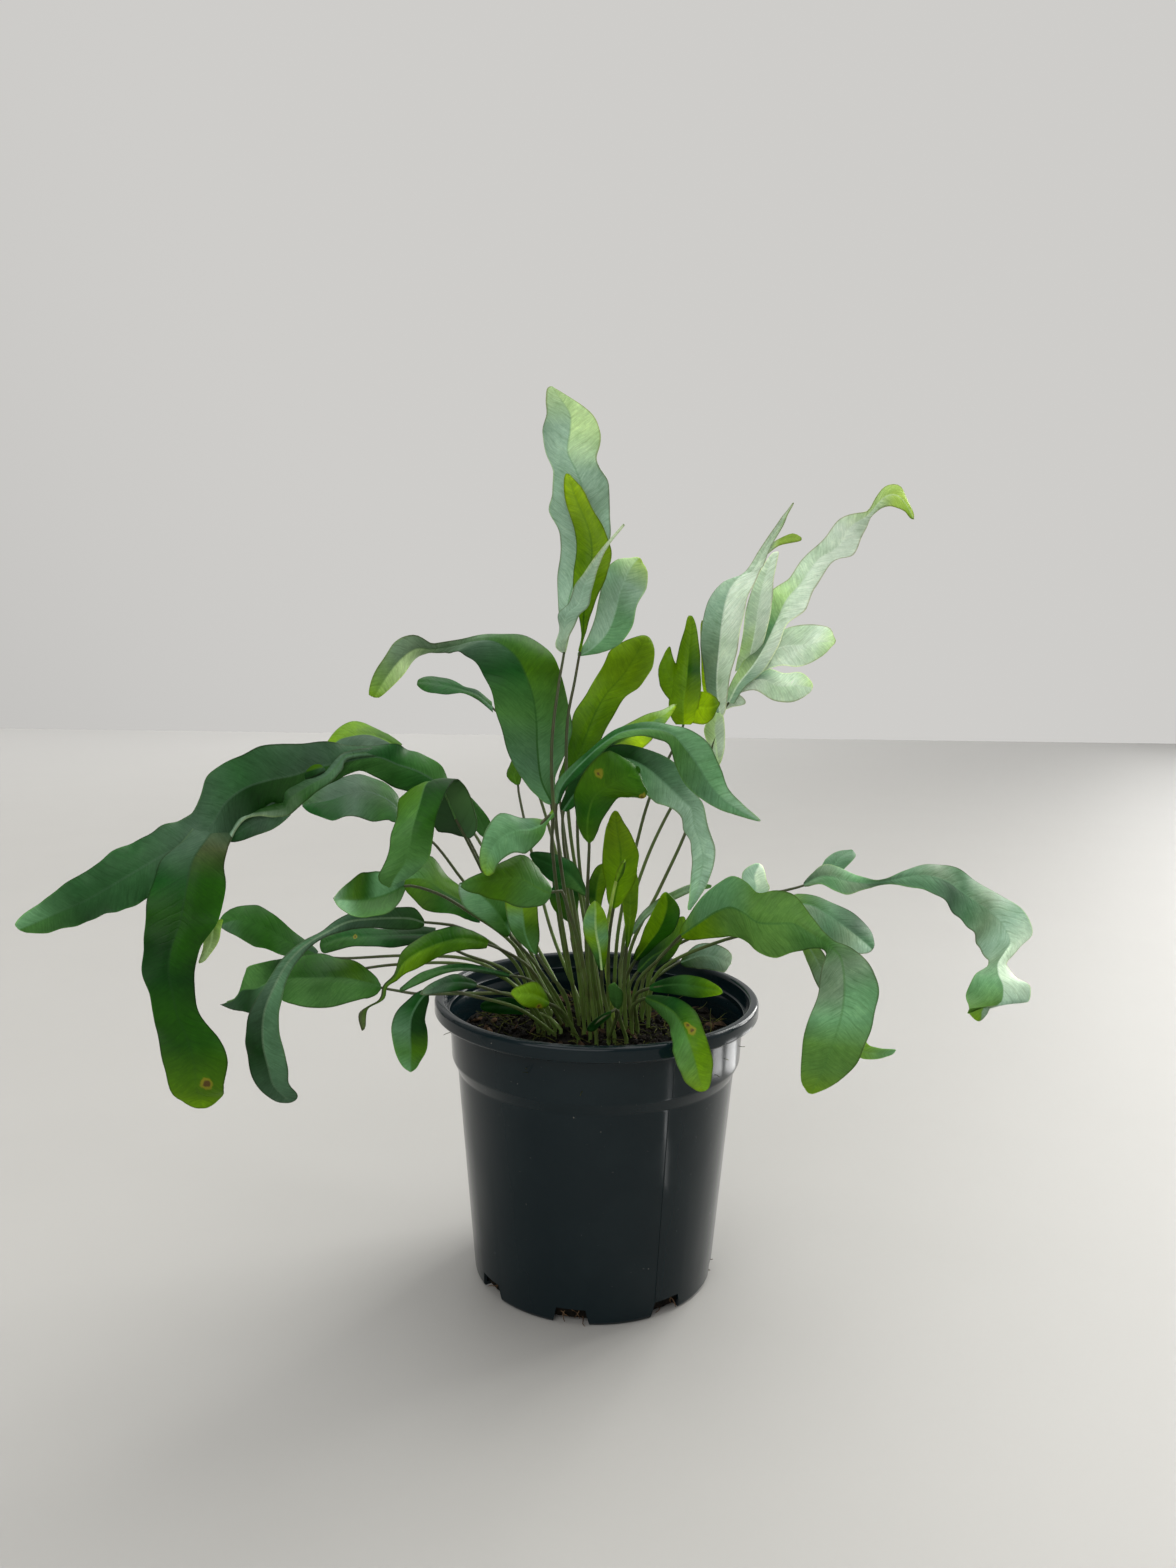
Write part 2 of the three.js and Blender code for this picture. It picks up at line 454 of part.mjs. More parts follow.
    blades: [[
      [51.9, 250.4, 56.4, 248.9, -17, 0], [54.7, 257.8, 61, 256, -17, 1],
      [59.3, 265.6, 69, 264.2, -17, 2], [63.8, 273.2, 74.4, 273.4, -17, 2],
      [69, 284.4, 78.2, 282.8, -17, 2], [70, 295.8, 85.2, 289, -16, 3], [78, 301.2, 88.2, 297.2, -15, 3],
      [84, 310.2, 96, 308.2, -14, 2], [91.4, 317.8, 104.2, 311.6, -12, -1],
      [97.8, 326.2, 107.6, 319.6, -10, -3], [108.4, 329.2, 110.6, 326.2, -8, -3],
      [113, 335.2, 115, 330.4, -6, 0], [117.2, 339.6, 118.4, 331.4, -4, 3],
      [122.4, 339.8, 121.4, 330.6, -2, 4], [126, 334, 125.2, 329.2, 0, 2],
      [128.8, 327.2, 128.2, 326.6, 1, 0],
    ], [
      [56.4, 262.6, 66.4, 268.6, -18.5, 0], [58.6, 274.6, 69.6, 281, -14, 1],
      [60.2, 286.6, 71, 292, -11, 2], [62.4, 296.6, 71.6, 300, -9, 1], [66.2, 305.6, 72.4, 307, -7, 0],
      [70, 311.2, 73.2, 312, -6, 0],
    ], [
      [72, 278.8, 60.6, 259.6, -17.5, 0], [80.6, 281.4, 73, 264.4, -19, 1],
      [88.6, 282.4, 82.2, 264.6, -19, 2], [94.6, 282, 90.8, 268.4, -17, 2],
      [97.4, 278, 96.2, 273, -15, 0],
    ], [
      [61.4, 261, 55.4, 252.4, -17.5, 0], [70, 263.8, 64.6, 254.8, -21, 1],
      [77, 262.6, 72.6, 250.6, -24, 2], [83.4, 263, 81, 250.4, -25, 2], [88, 259.6, 87, 253.2, -25, 0],
    ], [
      [55, 252, 51, 245.6, -17.5, 0], [58, 253, 55.4, 247.6, -20, 0], [61, 250.6, 59.4, 248.4, -22, 0],
    ]],
  },
  {
    name: "frond_right_top_curled", tone: "pale", root: [3, -2], cup: 0.2, rib: 2,
    reach: -45, slope: [0.3, 0],
    stem: [[14, 140, -9], [27, 170, -11], [36.5, 192, -12], [43, 212, -12], [48, 232, -11]],
    blades: [[
      [49.8, 243.8, 51.8, 243.6, -9, 0], [44.4, 255, 54.2, 258, -8, 2], [42.6, 267, 57, 273, -7, 2],
      [42, 279, 60, 288, -4, 4], [43.8, 291.8, 63, 298.6, -2, 4], [50.4, 299.6, 65.4, 304.2, -1, 2],
      [59.2, 303.8, 67.2, 307, 0, 0], [65.2, 313.4, 70, 315, 1, -2], [71.6, 323, 74.6, 323.2, 2, -2],
      [75.4, 328.6, 76.4, 327.6, 3, 0], [78.2, 332.4, 78.6, 331.8, 4, 0],
    ], [
      [68.6, 311.4, 69.4, 315.4, 1, 0], [73, 314.8, 73.6, 318, -1, 0], [78, 316, 78.4, 320, -3, 0],
      [82, 317, 81.6, 319, -4, 0],
    ], [
      [47.4, 243.4, 50.2, 243.8, -9.2, 0], [44.2, 250.4, 50.2, 251, -11, 0],
      [42.6, 259, 48.8, 260.4, -13, 0], [41.8, 270.4, 46.2, 271.2, -13, 0],
      [41.6, 282.8, 42.6, 283.2, -12, 0],
    ], [
      [49.6, 222.2, 50.8, 222.6, -11, 0], [46, 231.2, 52.8, 230.6, -10.8, 0],
      [44, 238, 53, 238.6, -10.2, 0], [47, 244.6, 51.6, 244.6, -9, 0],
    ]],
  },
  {
    name: "frond_right_arch_front", tone: "blue", root: [-1, 4], cup: 0.15,
    reach: 45, slope: [0, -0.3],
    stem: [[-8, 132, 26], [-14, 165, 32], [-17.5, 190, 34]],
    blades: [[
      [-19, 206, -17.6, 205, 35, 0], [-18.4, 213, -14.6, 210.4, 36, 4], [-14, 219.6, -10.6, 215.6, 37, 6],
      [-8, 226, -5, 221.6, 38, 6], [-1, 232.2, 1.6, 228, 38, 6], [7, 237.4, 9, 233.4, 37, 6],
      [15, 239.8, 16.6, 235, 36, 6], [24, 240.8, 23.6, 234, 35, 7], [32, 239.8, 29, 231, 35, 8],
      [39.4, 237.4, 32, 223, 36, 7], [46.4, 231.4, 35.6, 216, 37, 5], [51.2, 221.4, 42, 209, 38, 2],
      [55, 213, 50, 204.6, 39, 0], [62, 205.8, 57.4, 202, 40, 0], [68.8, 199.8, 67, 199.2, 41, 0],
    ]],
  },
  {
    name: "frond_right_arch_back", tone: "blue", root: [0, 4], cup: 0.15,
    reach: 15, slope: [0.2, -0.2],
    stem: [[-5, 130, 18], [-11, 165, 21], [-15, 188, 22]],
    blades: [[
      [-16.6, 203, -14, 202, 22, 0], [-13.6, 212, -8.6, 206, 23, -2], [-7, 222.6, 0, 214, 24, -4],
      [1, 229, 5, 219, 25, -4], [10, 231, 11, 219.6, 25, -2], [19, 229.6, 16, 216, 24, 0],
      [27, 227, 19.6, 210.6, 24, 3], [34, 221, 24.6, 206, 25, 4], [39.6, 212, 31.6, 203.6, 26, 3],
      [44.6, 206.6, 35.2, 200.4, 27, 1], [46.4, 199, 36, 194.6, 28, -2], [48.4, 190.6, 39.4, 189.4, 29, -4],
      [50.2, 183, 40.4, 181.6, 30, -3], [48.6, 175, 39.6, 172, 31, 0], [44.6, 167, 39.2, 165, 32, 2],
      [40.4, 160.6, 39, 160, 33, 0],
    ]],
  },
  {
    name: "frond_front_damaged", tone: "olive", root: [0, 6], cup: 0.2,
    reach: 40, slope: [0.2, -0.3],
    stem: [[-4.5, 140, 32], [-4.6, 165, 38]],
    blades: [[
      [-5, 189, -3.6, 188.6, 43, 0], [-8.6, 195, -0.6, 193.6, 44, 2], [-10.6, 203, 3, 201, 46, 3],
      [-10.8, 210, 7.6, 208.4, 48, 3], [-7.4, 217, 12, 208.4, 50, 2], [-2, 224, 17, 207.6, 52, 0],
      [3.6, 228.2, 20, 208.4, 53, -2], [9.6, 226, 20.4, 212, 52, -2], [14, 222.6, 17.4, 217, 51, 0],
    ]],
  },
  {
    name: "frond_lime_arch", tone: "lime", root: [0, 1], cup: 0.15,
    reach: -10, slope: [0, -0.5],
    stem: [[-4, 150, 7], [-9, 190, 9], [-8, 214, 10]],
    blades: [[
      [-4.4, 227, -3, 224, 11, 0], [1.6, 232.6, 4.4, 224.6, 12, 2], [7.6, 237.4, 12.6, 226.6, 13, 3],
      [13, 241.4, 20, 231, 13, 3], [19, 244.4, 25, 237, 13, 2], [26, 246, 29, 242.4, 12, 1],
      [31, 248.6, 31.8, 247.4, 11, 0],
    ]],
  },
  {
    name: "frond_front_lime", tone: "lime", root: [1, 4], cup: 0.12,
    reach: 25, slope: [0.4, 0],
    stem: [[5, 130, 24], [5, 146, 28]],
    blades: [[
      [5.8, 160.4, 7.4, 160, 31, 0], [3.4, 168, 12.6, 166, 32, 1], [2.4, 177, 17, 175.6, 33, 2],
      [2.4, 186, 17.6, 184, 34, 1], [2.6, 193, 14.8, 191, 35, 0], [4, 198, 11, 197, 36, -1],
      [6, 202.2, 8.4, 201.6, 37, 0],
    ]],
  },
  {
    name: "frond_front_lime_back", tone: "grass", root: [2, 3], cup: 0.12,
    reach: 5, slope: [-0.3, 0],
    stem: [[12, 132, 18]],
    blades: [[
      [12.6, 143, 13.8, 143, 21, 0], [12, 150, 15.4, 151, 22, 0], [10.8, 160, 17.2, 160, 23, 1],
      [9.8, 168, 17.3, 168, 24, 1], [9, 175, 17, 174, 25, 0], [10, 181, 14.6, 180, 26, 0],
    ]],
  },
  {
    name: "frond_crozier", tone: "fresh", root: [1, 3], cup: 0.1,
    reach: 25, slope: [0, 0],
    stem: [[3.5, 140, 19], [5.4, 160, 38], [7, 169, 40]],
    blades: [[
      [7, 172.4, 8.6, 171.6, 41, 0], [8, 177, 11, 175.6, 43, 1], [10.4, 180.8, 11.6, 180, 45, 0],
    ]],
  },
  {
    name: "frond_centre_oval", tone: "fresh", root: [1, 5], cup: 0.15,
    reach: 25, slope: [0, -0.2],
    stem: [[2.6, 124, 28]],
    blades: [[
      [1.4, 132.6, 2.8, 132.6, 36, 0], [-2.2, 141, 4.4, 142, 38, 1], [-5.6, 148, 5, 149, 40, 1],
      [-6.2, 153.6, 4.2, 154.4, 42, 0], [-4.6, 159, 2.6, 159.4, 44, 0], [-2.4, 162.4, 0, 162.4, 45, 0],
    ]],
  },
  {
    name: "frond_small_upright", tone: "blue", root: [2, 5], cup: 0.12,
    reach: 10, slope: [0, 0],
    stem: [[10, 112, 30]],
    blades: [[
      [8.4, 115.4, 9.6, 115, 33, 0], [5.6, 120.4, 11.6, 119, 34, 0], [5, 125, 11.4, 123, 35, 0],
      [6.6, 126.6, 9.4, 125.4, 36, 0],
    ]],
  },
  {
    name: "frond_small_low", tone: "blue", root: [1, 6], cup: 0.12,
    reach: 12, slope: [0, -0.5],
    stem: [[9, 115.5, 37]],
    blades: [[
      [6.6, 114.6, 6.4, 112, 41, 0], [2.6, 112.8, 2.4, 108.6, 43, 0], [-0.6, 110.6, -0.6, 105.4, 45, 0],
      [-3.4, 107.4, -2.6, 105, 46, 0],
    ]],
  },
  {
    name: "frond_right_front_down", tone: "mid", root: [3, 4], cup: 0.18,
    reach: 0, slope: [0, 0],
    stem: [[16, 117, 26]],
    blades: [[
      [22, 121.6, 21, 119.4, 34, 0], [30, 121.6, 27, 114, 44, 1], [37.6, 119.6, 31.6, 108, 54, 2],
      [43.6, 113.6, 33.6, 101.8, 64, 2], [48, 104.6, 34.2, 95.6, 70, 2], [51, 95, 36.2, 88.6, 72, 2],
      [51.2, 87, 39.6, 83, 72, 1], [50.4, 81, 43.4, 79.6, 71, 0],
    ]],
  },
  {
    name: "frond_right_front_short", tone: "mid", root: [3, 3], cup: 0.15,
    reach: 20, slope: [0, -0.8],
    stem: [[17, 121.5, 24]],
    blades: [[
      [23, 126, 23, 124, 32, 0], [30, 129.6, 31, 122.8, 36, 1], [37, 131.2, 38, 121.8, 40, 2],
      [45, 130, 46, 120.8, 44, 2], [51, 127.4, 51.4, 121.8, 47, 1], [54.4, 124.4, 54, 122.8, 49, 0],
    ]],
  },
  {
    name: "frond_right_pale_back", tone: "pale", root: [4, -2], cup: 0.15,
    reach: -6, slope: [0, 0],
    stem: [[22, 126, -12], [30, 133, -17]],
    blades: [[
      [36.6, 138, 36.6, 135.6, -20, 0], [44, 145, 43.6, 134, -22, 2], [51, 145, 50.4, 133.4, -23, 2],
      [57, 142, 55.4, 132.4, -24, 1], [58.4, 137.4, 57.6, 135.6, -24, 0],
    ]],
  },
  {
    name: "frond_right_big_fold", tone: "grass", root: [3, 2], cup: 0.2,
    reach: 25, slope: [0, -0.25],
    stem: [[18, 128, 12], [27, 138, 14]],
    blades: [[
      [35.6, 150, 36.8, 147.4, 16, 0], [40, 158, 43, 146.8, 18, 1], [45, 165, 50, 148, 21, 2],
      [51, 171, 54.4, 148.4, 24, 2], [57.4, 175.2, 59.6, 147.8, 26, 2], [63.4, 172.6, 65, 145.4, 28, 2],
      [69.4, 168.4, 70.6, 141.4, 30, 3], [77, 168.6, 77.6, 139.8, 32, 4], [85, 166.6, 85.2, 142, 34, 3],
      [91.4, 158.6, 91.2, 143.2, 36, 2], [97.4, 151.6, 96.6, 143.4, 38, 1],
      [104, 146.6, 99.4, 141.6, 41, 0], [113, 142, 99, 137.4, 43, -1], [120, 134, 96.6, 129.4, 45, -2],
      [122.4, 122, 95, 119, 46, -2], [121, 108.8, 92.8, 109.6, 46, -1], [116.2, 95.8, 90, 99, 45, 0],
      [108.8, 85.6, 90, 89, 43, 1], [99.4, 79.4, 92.2, 80.6, 41, 0],
    ]],
  },
  {
    name: "frond_right_back_blue", tone: "slate", root: [4, 0], cup: 0.18,
    reach: -25, slope: [0, -0.6],
    stem: [[26, 137, 7], [50, 156, 8], [66, 161, 8]],
    blades: [[
      [78, 164, 79, 159, 9, 0], [86, 168, 86, 157, 11, 1], [93.4, 167.2, 92, 155.6, 13, 2],
      [101.6, 163.6, 98, 150.4, 15, 2], [110.4, 158.4, 103.6, 145.4, 16, 2], [117.4, 153, 109, 141.6, 17, 1],
      [119.8, 147.6, 115, 141.4, 18, 0],
    ]],
  },
  {
    name: "frond_right_sliver", tone: "grass", root: [4, 1], cup: 0.15,
    reach: 5, slope: [0, 0],
    stem: [[26, 131, 8], [50, 145, 15], [76, 151, 19]],
    blades: [[
      [88, 147.4, 90, 149, 21, 0], [91, 138, 98, 142, 23, 1], [95, 129.6, 103, 133, 25, 1],
      [100, 119.6, 110, 122, 27, 1], [106, 108, 116, 111, 29, 1], [113, 96.4, 118.6, 101.4, 31, 0],
      [122, 94, 124, 99.4, 32, 0], [129, 96, 131, 98.8, 32, 0],
    ]],
  },
  {
    name: "frond_right_pale_up", tone: "pale", root: [4, -1], cup: 0.15,
    reach: -30, slope: [0, -0.5],
    stem: [[24, 136, -4], [45, 150, -2], [58, 158, 0]],
    blades: [[
      [63.6, 163, 66, 161.6, 2, 0], [62, 170, 73.6, 168.6, 4, 1], [61.6, 176, 72.4, 173.4, 6, 2],
      [66.6, 180.2, 71, 178.6, 8, 0],
    ]],
  },
  {
    name: "frond_far_right", tone: "sage", root: [3, -1], cup: 0.15,
    reach: -50, slope: [0, -0.5],
    stem: [[26, 145, -9], [50, 160, -4], [72, 166.8, 0]],
    blades: [[
      [88.4, 172.4, 89, 170.8, 3, 0], [93, 177.4, 95.6, 171.8, 5, 2], [98, 180.4, 102, 169.6, 7, 3],
      [104, 179.4, 107, 167.8, 9, 2], [111, 176.4, 112.4, 169, 11, 0], [119, 174.2, 119.6, 171.4, 13, -2],
      [126, 175.6, 127, 172.4, 15, 0], [133, 178.8, 134, 171.6, 17, 3], [141, 181.8, 142, 169, 19, 5],
      [149.4, 180.8, 149.6, 165, 21, 6], [157, 176.8, 154.8, 160, 23, 6],
      [165.4, 173, 159.2, 154.4, 25, 4], [174, 169, 162.4, 150.4, 26, 2], [182, 162.4, 165, 147, 27, 0],
      [187.8, 151.6, 167.6, 142.4, 28, -2], [183, 145.4, 169.4, 138.6, 29, -3],
      [177.8, 138.6, 169.6, 136.6, 30, -2], [182.6, 132, 164.6, 132.8, 31, 0],
      [188.2, 127.4, 162.2, 126, 32, 2], [186.8, 120.4, 162, 119, 33, 3],
      [173.6, 119.6, 162.8, 115, 34, 2], [170.4, 115, 165.4, 112.6, 35, 0],
    ], [
      [95, 177.6, 104.6, 177.6, 7, 0], [97.4, 183, 108.4, 181.8, 4, 1], [102, 186.2, 110.4, 184, 2, 1],
      [106.4, 187, 109.6, 186.2, 1, 0],
    ]],
  },
  {
    name: "frond_right_dark", tone: "deep", root: [2, 2], cup: 0.15,
    reach: 8, slope: [0.4, 0],
    stem: [[12, 127, 9]],
    blades: [[
      [15.6, 138, 17.6, 137, 11, 0], [18.4, 145.4, 26, 144.2, 12, 1], [20.8, 152, 33, 150.4, 13, 2],
      [23.4, 158, 35.2, 156.6, 14, 1], [26, 163.2, 34.4, 162, 15, 0], [28, 167, 31, 166.4, 16, 0],
    ]],
  },
  {
    name: "frond_right_thin", tone: "olive", root: [2, 1], cup: 0.1,
    reach: -15, slope: [0, -0.4],
    stem: [[10, 135, 3]],
    blades: [[
      [14, 150, 16, 149, 3, 0], [18.6, 158, 21, 155.6, 3, 1], [24.6, 163.4, 26.6, 160.4, 2, 1],
      [32, 167.6, 33.4, 164.4, 1, 1], [39.6, 171.2, 41, 168, 0, 0], [48, 171.2, 48, 169.6, -1, 0],
    ]],
  },
  {
    name: "frond_right_inner", tone: "deep", root: [3, 0], cup: 0.12,
    reach: -5, slope: [0, -0.5],
    stem: [[14, 125, 0]],
    blades: [[
      [17.4, 133.4, 18.4, 131.6, 0, 0], [22, 142.6, 25, 134, 0, 1], [29, 148, 32, 138.4, 1, 1],
      [34, 155, 37.4, 147.6, 2, 1], [36.6, 157, 38.2, 155, 3, 0],
    ]],
  },
  {
    name: "frond_front_small_lime", tone: "grass", root: [-2, 5], cup: 0.15,
    reach: 15, slope: [0, -0.6],
    stem: [[-15, 114, 32]],
    blades: [[
      [-20.6, 118.8, -20.6, 116.6, 38, 0], [-24, 124.6, -25, 115.2, 41, 1], [-28, 127.4, -30, 115.6, 44, 1],
      [-33, 125.6, -34, 117.8, 46, 0], [-37, 122.6, -36.6, 120.8, 47, 0],
    ]],
  },
  {
    name: "frond_left_inner", tone: "deep", root: [-3, 4], cup: 0.12,
    reach: 0, slope: [0, 0],
    stem: [[-21, 111.5, 16]],
    blades: [[
      [-31, 115, -31, 112.6, 17, 0], [-36, 119.6, -37, 112.6, 16, 0], [-43, 120, -44, 112.6, 15, 0],
      [-49.4, 117.6, -49.4, 114, 14, 0],
    ]],
  },
];

function soilTop(x, y) {
  const r = Math.hypot(x, y);
  const dome = SOIL_DOME * Math.exp(-((r / SOIL_DOME_SPREAD) ** 2));
  const waves = Math.sin(0.31 * x + 1) * Math.cos(0.27 * y);
  const lesserWaves = 0.6 * Math.sin(0.17 * x - 0.23 * y);
  return SOIL_EDGE + dome + SOIL_BUMP * (waves + lesserWaves);
}

function toSolid(geometry) {
  const plain = geometry.clone();
  plain.deleteAttribute('normal');
  plain.deleteAttribute('uv');
  const merged = mergeVertices(plain, 1e-4);
  const vertProperties = new Float32Array(merged.attributes.position.array);
  const triVerts = new Uint32Array(merged.index.array);
  return new wasm.Manifold(new wasm.Mesh({ numProp: 3, vertProperties, triVerts }));
}

function toGeometry(solid) {
  const mesh = solid.getMesh();
  const geometry = new THREE.BufferGeometry();
  geometry.setAttribute('position', new THREE.BufferAttribute(new Float32Array(mesh.vertProperties), 3));
  geometry.setIndex(new THREE.BufferAttribute(new Uint32Array(mesh.triVerts), 1));
  geometry.computeVertexNormals();
  return geometry;
}

function fromGrid(points, triangles) {
  const geometry = new THREE.BufferGeometry();
  geometry.setFromPoints(points);
  geometry.setIndex(triangles);
  return volume(points, triangles) < 0 ? fromGrid(points, flipped(triangles)) : geometry;
}

function flipped(triangles) {
  const out = [];
  for (let i = 0; i < triangles.length; i += 3) {
    out.push(triangles[i], triangles[i + 2], triangles[i + 1]);
  }
  return out;
}

function volume(points, triangles) {
  let sum = 0;
  for (let i = 0; i < triangles.length; i += 3) {
    const [a, b, c] = [0, 1, 2].map((k) => points[triangles[i + k]]);
    sum += a.dot(b.clone().cross(c)) / 6;
  }
  return sum;
}

// Places a point of a frond, with the depth that its reach and slope add.
function placeOn(frond, across, up, front, slope = [0, 0]) {
  const [i] = frond.root;
  const fromRoot = (a, u) => Math.hypot(a - SPOT_ACROSS * i, u - SOIL_EDGE);
  const far = Math.max(...frond.blades.flat().map(([a, u]) => fromRoot(a, u)));
  const share = fromRoot(across, up) / far;
  const [a1, u1] = frond.blades[0][0];
  const sloped = slope[0] * (across - a1) + slope[1] * (up - u1);
  return place(across, up, front + frond.reach * share ** REACH_POWER + sloped);
}

// Middle surface of a blade: rows of points from edge to edge, arched at the midrib.
function bladeSurface(frond, rows) {
  const edges = rows.map(([a1, u1, a2, u2, front, lean]) => [
    placeOn(frond, a1, u1, front - lean / 2, frond.slope),
    placeOn(frond, a2, u2, front + lean / 2, frond.slope),
  ]);
  const widest = Math.max(...edges.map(([p, q]) => p.distanceTo(q)));
  const across = widest > WIDE_BLADE ? 4 : 2;
  const mids = edges.map(([p, q]) => p.clone().lerp(q, 0.5));
  const normals = edges.map(([p, q], i) => {
    const along = mids[Math.min(i + 1, mids.length - 1)].clone().sub(mids[Math.max(i - 1, 0)]);
    return q.clone().sub(p).cross(along).normalize();
  });
  const facing = normals.reduce((sum, n) => sum - n.y, 0) < 0 ? -1 : 1;
  return edges.map(([p, q], i) => {
    const height = (frond.cup * facing * p.distanceTo(q)) / 2;
    const row = [];
    for (let k = 0; k <= across; k += 1) {
      const share = k / across;
      const arch = 4 * share * (1 - share);
      row.push(p.clone().lerp(q, share).addScaledVector(normals[i], height * arch));
    }
    return row;
  });
}

// A blade is its middle surface with half the thickness on either side.
function bladeSolid(frond, rows) {
  const surface = bladeSurface(frond, rows);
  const wide = surface[0].length;
  const flat = surface.flat();
  const triangles = [];
  for (let i = 0; i + 1 < surface.length; i += 1) {
    for (let k = 0; k + 1 < wide; k += 1) {
      const a = i * wide + k;
      triangles.push(a, a + wide, a + 1, a + 1, a + wide, a + wide + 1);
    }
  }
  const normals = flat.map(() => new THREE.Vector3());
  for (let i = 0; i < triangles.length; i += 3) {
    const [a, b, c] = triangles.slice(i, i + 3);
    const normal = flat[b].clone().sub(flat[a]).cross(flat[c].clone().sub(flat[a]));
    [a, b, c].forEach((v) => normals[v].add(normal));
  }
  normals.forEach((n) => n.setLength(BLADE_THICKNESS / 2));
  const points = [
    ...flat.map((p, i) => p.clone().add(normals[i])),
    ...flat.map((p, i) => p.clone().sub(normals[i])),
  ];
  const below = flat.length;
  const all = [...triangles, ...flipped(triangles).map((v) => v + below)];
  const border = [];
  for (let k = 0; k + 1 < wide; k += 1) border.push([k, k + 1]);
  for (let i = 1; i < surface.length; i += 1) border.push([i * wide - 1, (i + 1) * wide - 1]);
  for (let k = wide - 1; k > 0; k -= 1) border.push([below - wide + k, below - wide + k - 1]);
  for (let i = surface.length - 1; i > 0; i -= 1) border.push([i * wide, (i - 1) * wide]);
  border.forEach(([a, b]) => all.push(a, b, a + below, b, b + below, a + below));
  return toSolid(fromGrid(points, all));
}

function rootOf(frond) {
  const [i, j] = frond.root;
  const x = SPOT_ACROSS * (i + (j % 2 === 0 ? 0 : 0.5));
  const y = -SPOT_FRONT * j;
  return new THREE.Vector3(x, y, soilTop(x, y));
}

// The stalk stands upright in the soil, follows its points and runs on as the midrib.
function stalkSolid(frond) {
  const root = rootOf(frond);
  const rib = bladeSurface(frond, frond.blades[0]).slice(0, frond.rib ?? RIB_ROWS);
  const points = [
    root.clone().setZ(root.z + STALK_CLEAR),
    ...frond.stem.map((p) => placeOn(frond, ...p)),
    ...rib.map((row) => row[(row.length - 1) / 2]),
  ];
  const curve = new THREE.CatmullRomCurve3(points, false, 'centripetal');
  const steps = Math.max(FEWEST_STEPS, Math.round(curve.getLength() / STALK_STEP));
  const rings = [];
  const addRing = (at, along, radius) => {
    const side = new THREE.Vector3(0, -1, 0).cross(along).normalize();
    const other = along.clone().cross(side);
    for (let k = 0; k < STALK_SIDES; k += 1) {
      const turn = (2 * Math.PI * (k + 0.5)) / STALK_SIDES;
      rings.push(at.clone().addScaledVector(side, radius * Math.cos(turn))
        .addScaledVector(other, radius * Math.sin(turn)));
    }
  };
  const upright = new THREE.Vector3(0, 0, 1);
  addRing(root.clone().setZ(root.z - BURIED), upright, STALK_RADIUS);
  addRing(points[0], curve.getTangentAt(0).add(upright).normalize(), STALK_RADIUS);
  for (let i = 1; i <= steps; i += 1) {
    const radius = THREE.MathUtils.lerp(STALK_RADIUS, RIB_RADIUS, (i / steps) ** 2);
    addRing(curve.getPointAt(i / steps), curve.getTangentAt(i / steps), radius);
  }
  const triangles = [];
  for (let i = 0; i <= steps; i += 1) {
    for (let k = 0; k < STALK_SIDES; k += 1) {
      const a = i * STALK_SIDES + k;
      const b = i * STALK_SIDES + ((k + 1) % STALK_SIDES);
      triangles.push(a, b, a + STALK_SIDES, b, b + STALK_SIDES, a + STALK_SIDES);
    }
  }
  const last = (steps + 1) * STALK_SIDES;
  for (let k = 1; k + 1 < STALK_SIDES; k += 1) {
    triangles.push(0, k + 1, k, last, last + k, last + k + 1);
  }
  return toSolid(fromGrid(rings, triangles));
}

function buildFrond(frond) {
  const blades = frond.blades.map((rows) => bladeSolid(frond, rows));
  const solid = blades.reduce((sum, blade) => sum.add(blade), stalkSolid(frond));
  return toGeometry(solid);
}

function lathe(profile, segments) {
  const geometry = new THREE.LatheGeometry(profile.map(([r, z]) => new THREE.Vector2(r, z)), segments);
  geometry.rotateX(Math.PI / 2);
  const points = [];
  const { position } = geometry.attributes;
  for (let i = 0; i < position.count; i += 1) {
    points.push(new THREE.Vector3().fromBufferAttribute(position, i));
  }
  return toSolid(fromGrid(points, [...geometry.index.array]));
}

function buildPot() {
  const lip = POT_HEIGHT - LIP_DROP;
  const collarInside = COLLAR_RADIUS - WALL;
  const outside = [
    [0, 0],
    [BASE_RADIUS - BASE_ROUNDING, 0],
    [BASE_RADIUS, BASE_ROUNDING],
    [STEP_RADIUS, STEP_HEIGHT],
    [COLLAR_RADIUS - COLLAR_TAPER, COLLAR_FOOT],
    [COLLAR_RADIUS, lip],
    [RIM_RADIUS - LIP_ROUNDING, lip],
    [RIM_RADIUS, lip + LIP_ROUNDING],
    [RIM_RADIUS, POT_HEIGHT - RIM_ROUNDING],
    [RIM_RADIUS - RIM_ROUNDING, POT_HEIGHT],
  ];
  const inside = [
    [RIM_INNER_RADIUS + RIM_ROUNDING, POT_HEIGHT],
    [RIM_INNER_RADIUS, POT_HEIGHT - RIM_ROUNDING],
    [RIM_INNER_RADIUS, lip + WALL],
    [collarInside, lip - LIP_ROUNDING],
    [collarInside - COLLAR_TAPER, COLLAR_FOOT],
    [STEP_RADIUS - WALL, STEP_HEIGHT],
    [BASE_RADIUS - WALL, FLOOR],
    [0, FLOOR],
  ];
  const body = lathe([...outside, ...inside], POT_SEGMENTS);
  return toGeometry(body.subtract(notches()));
}

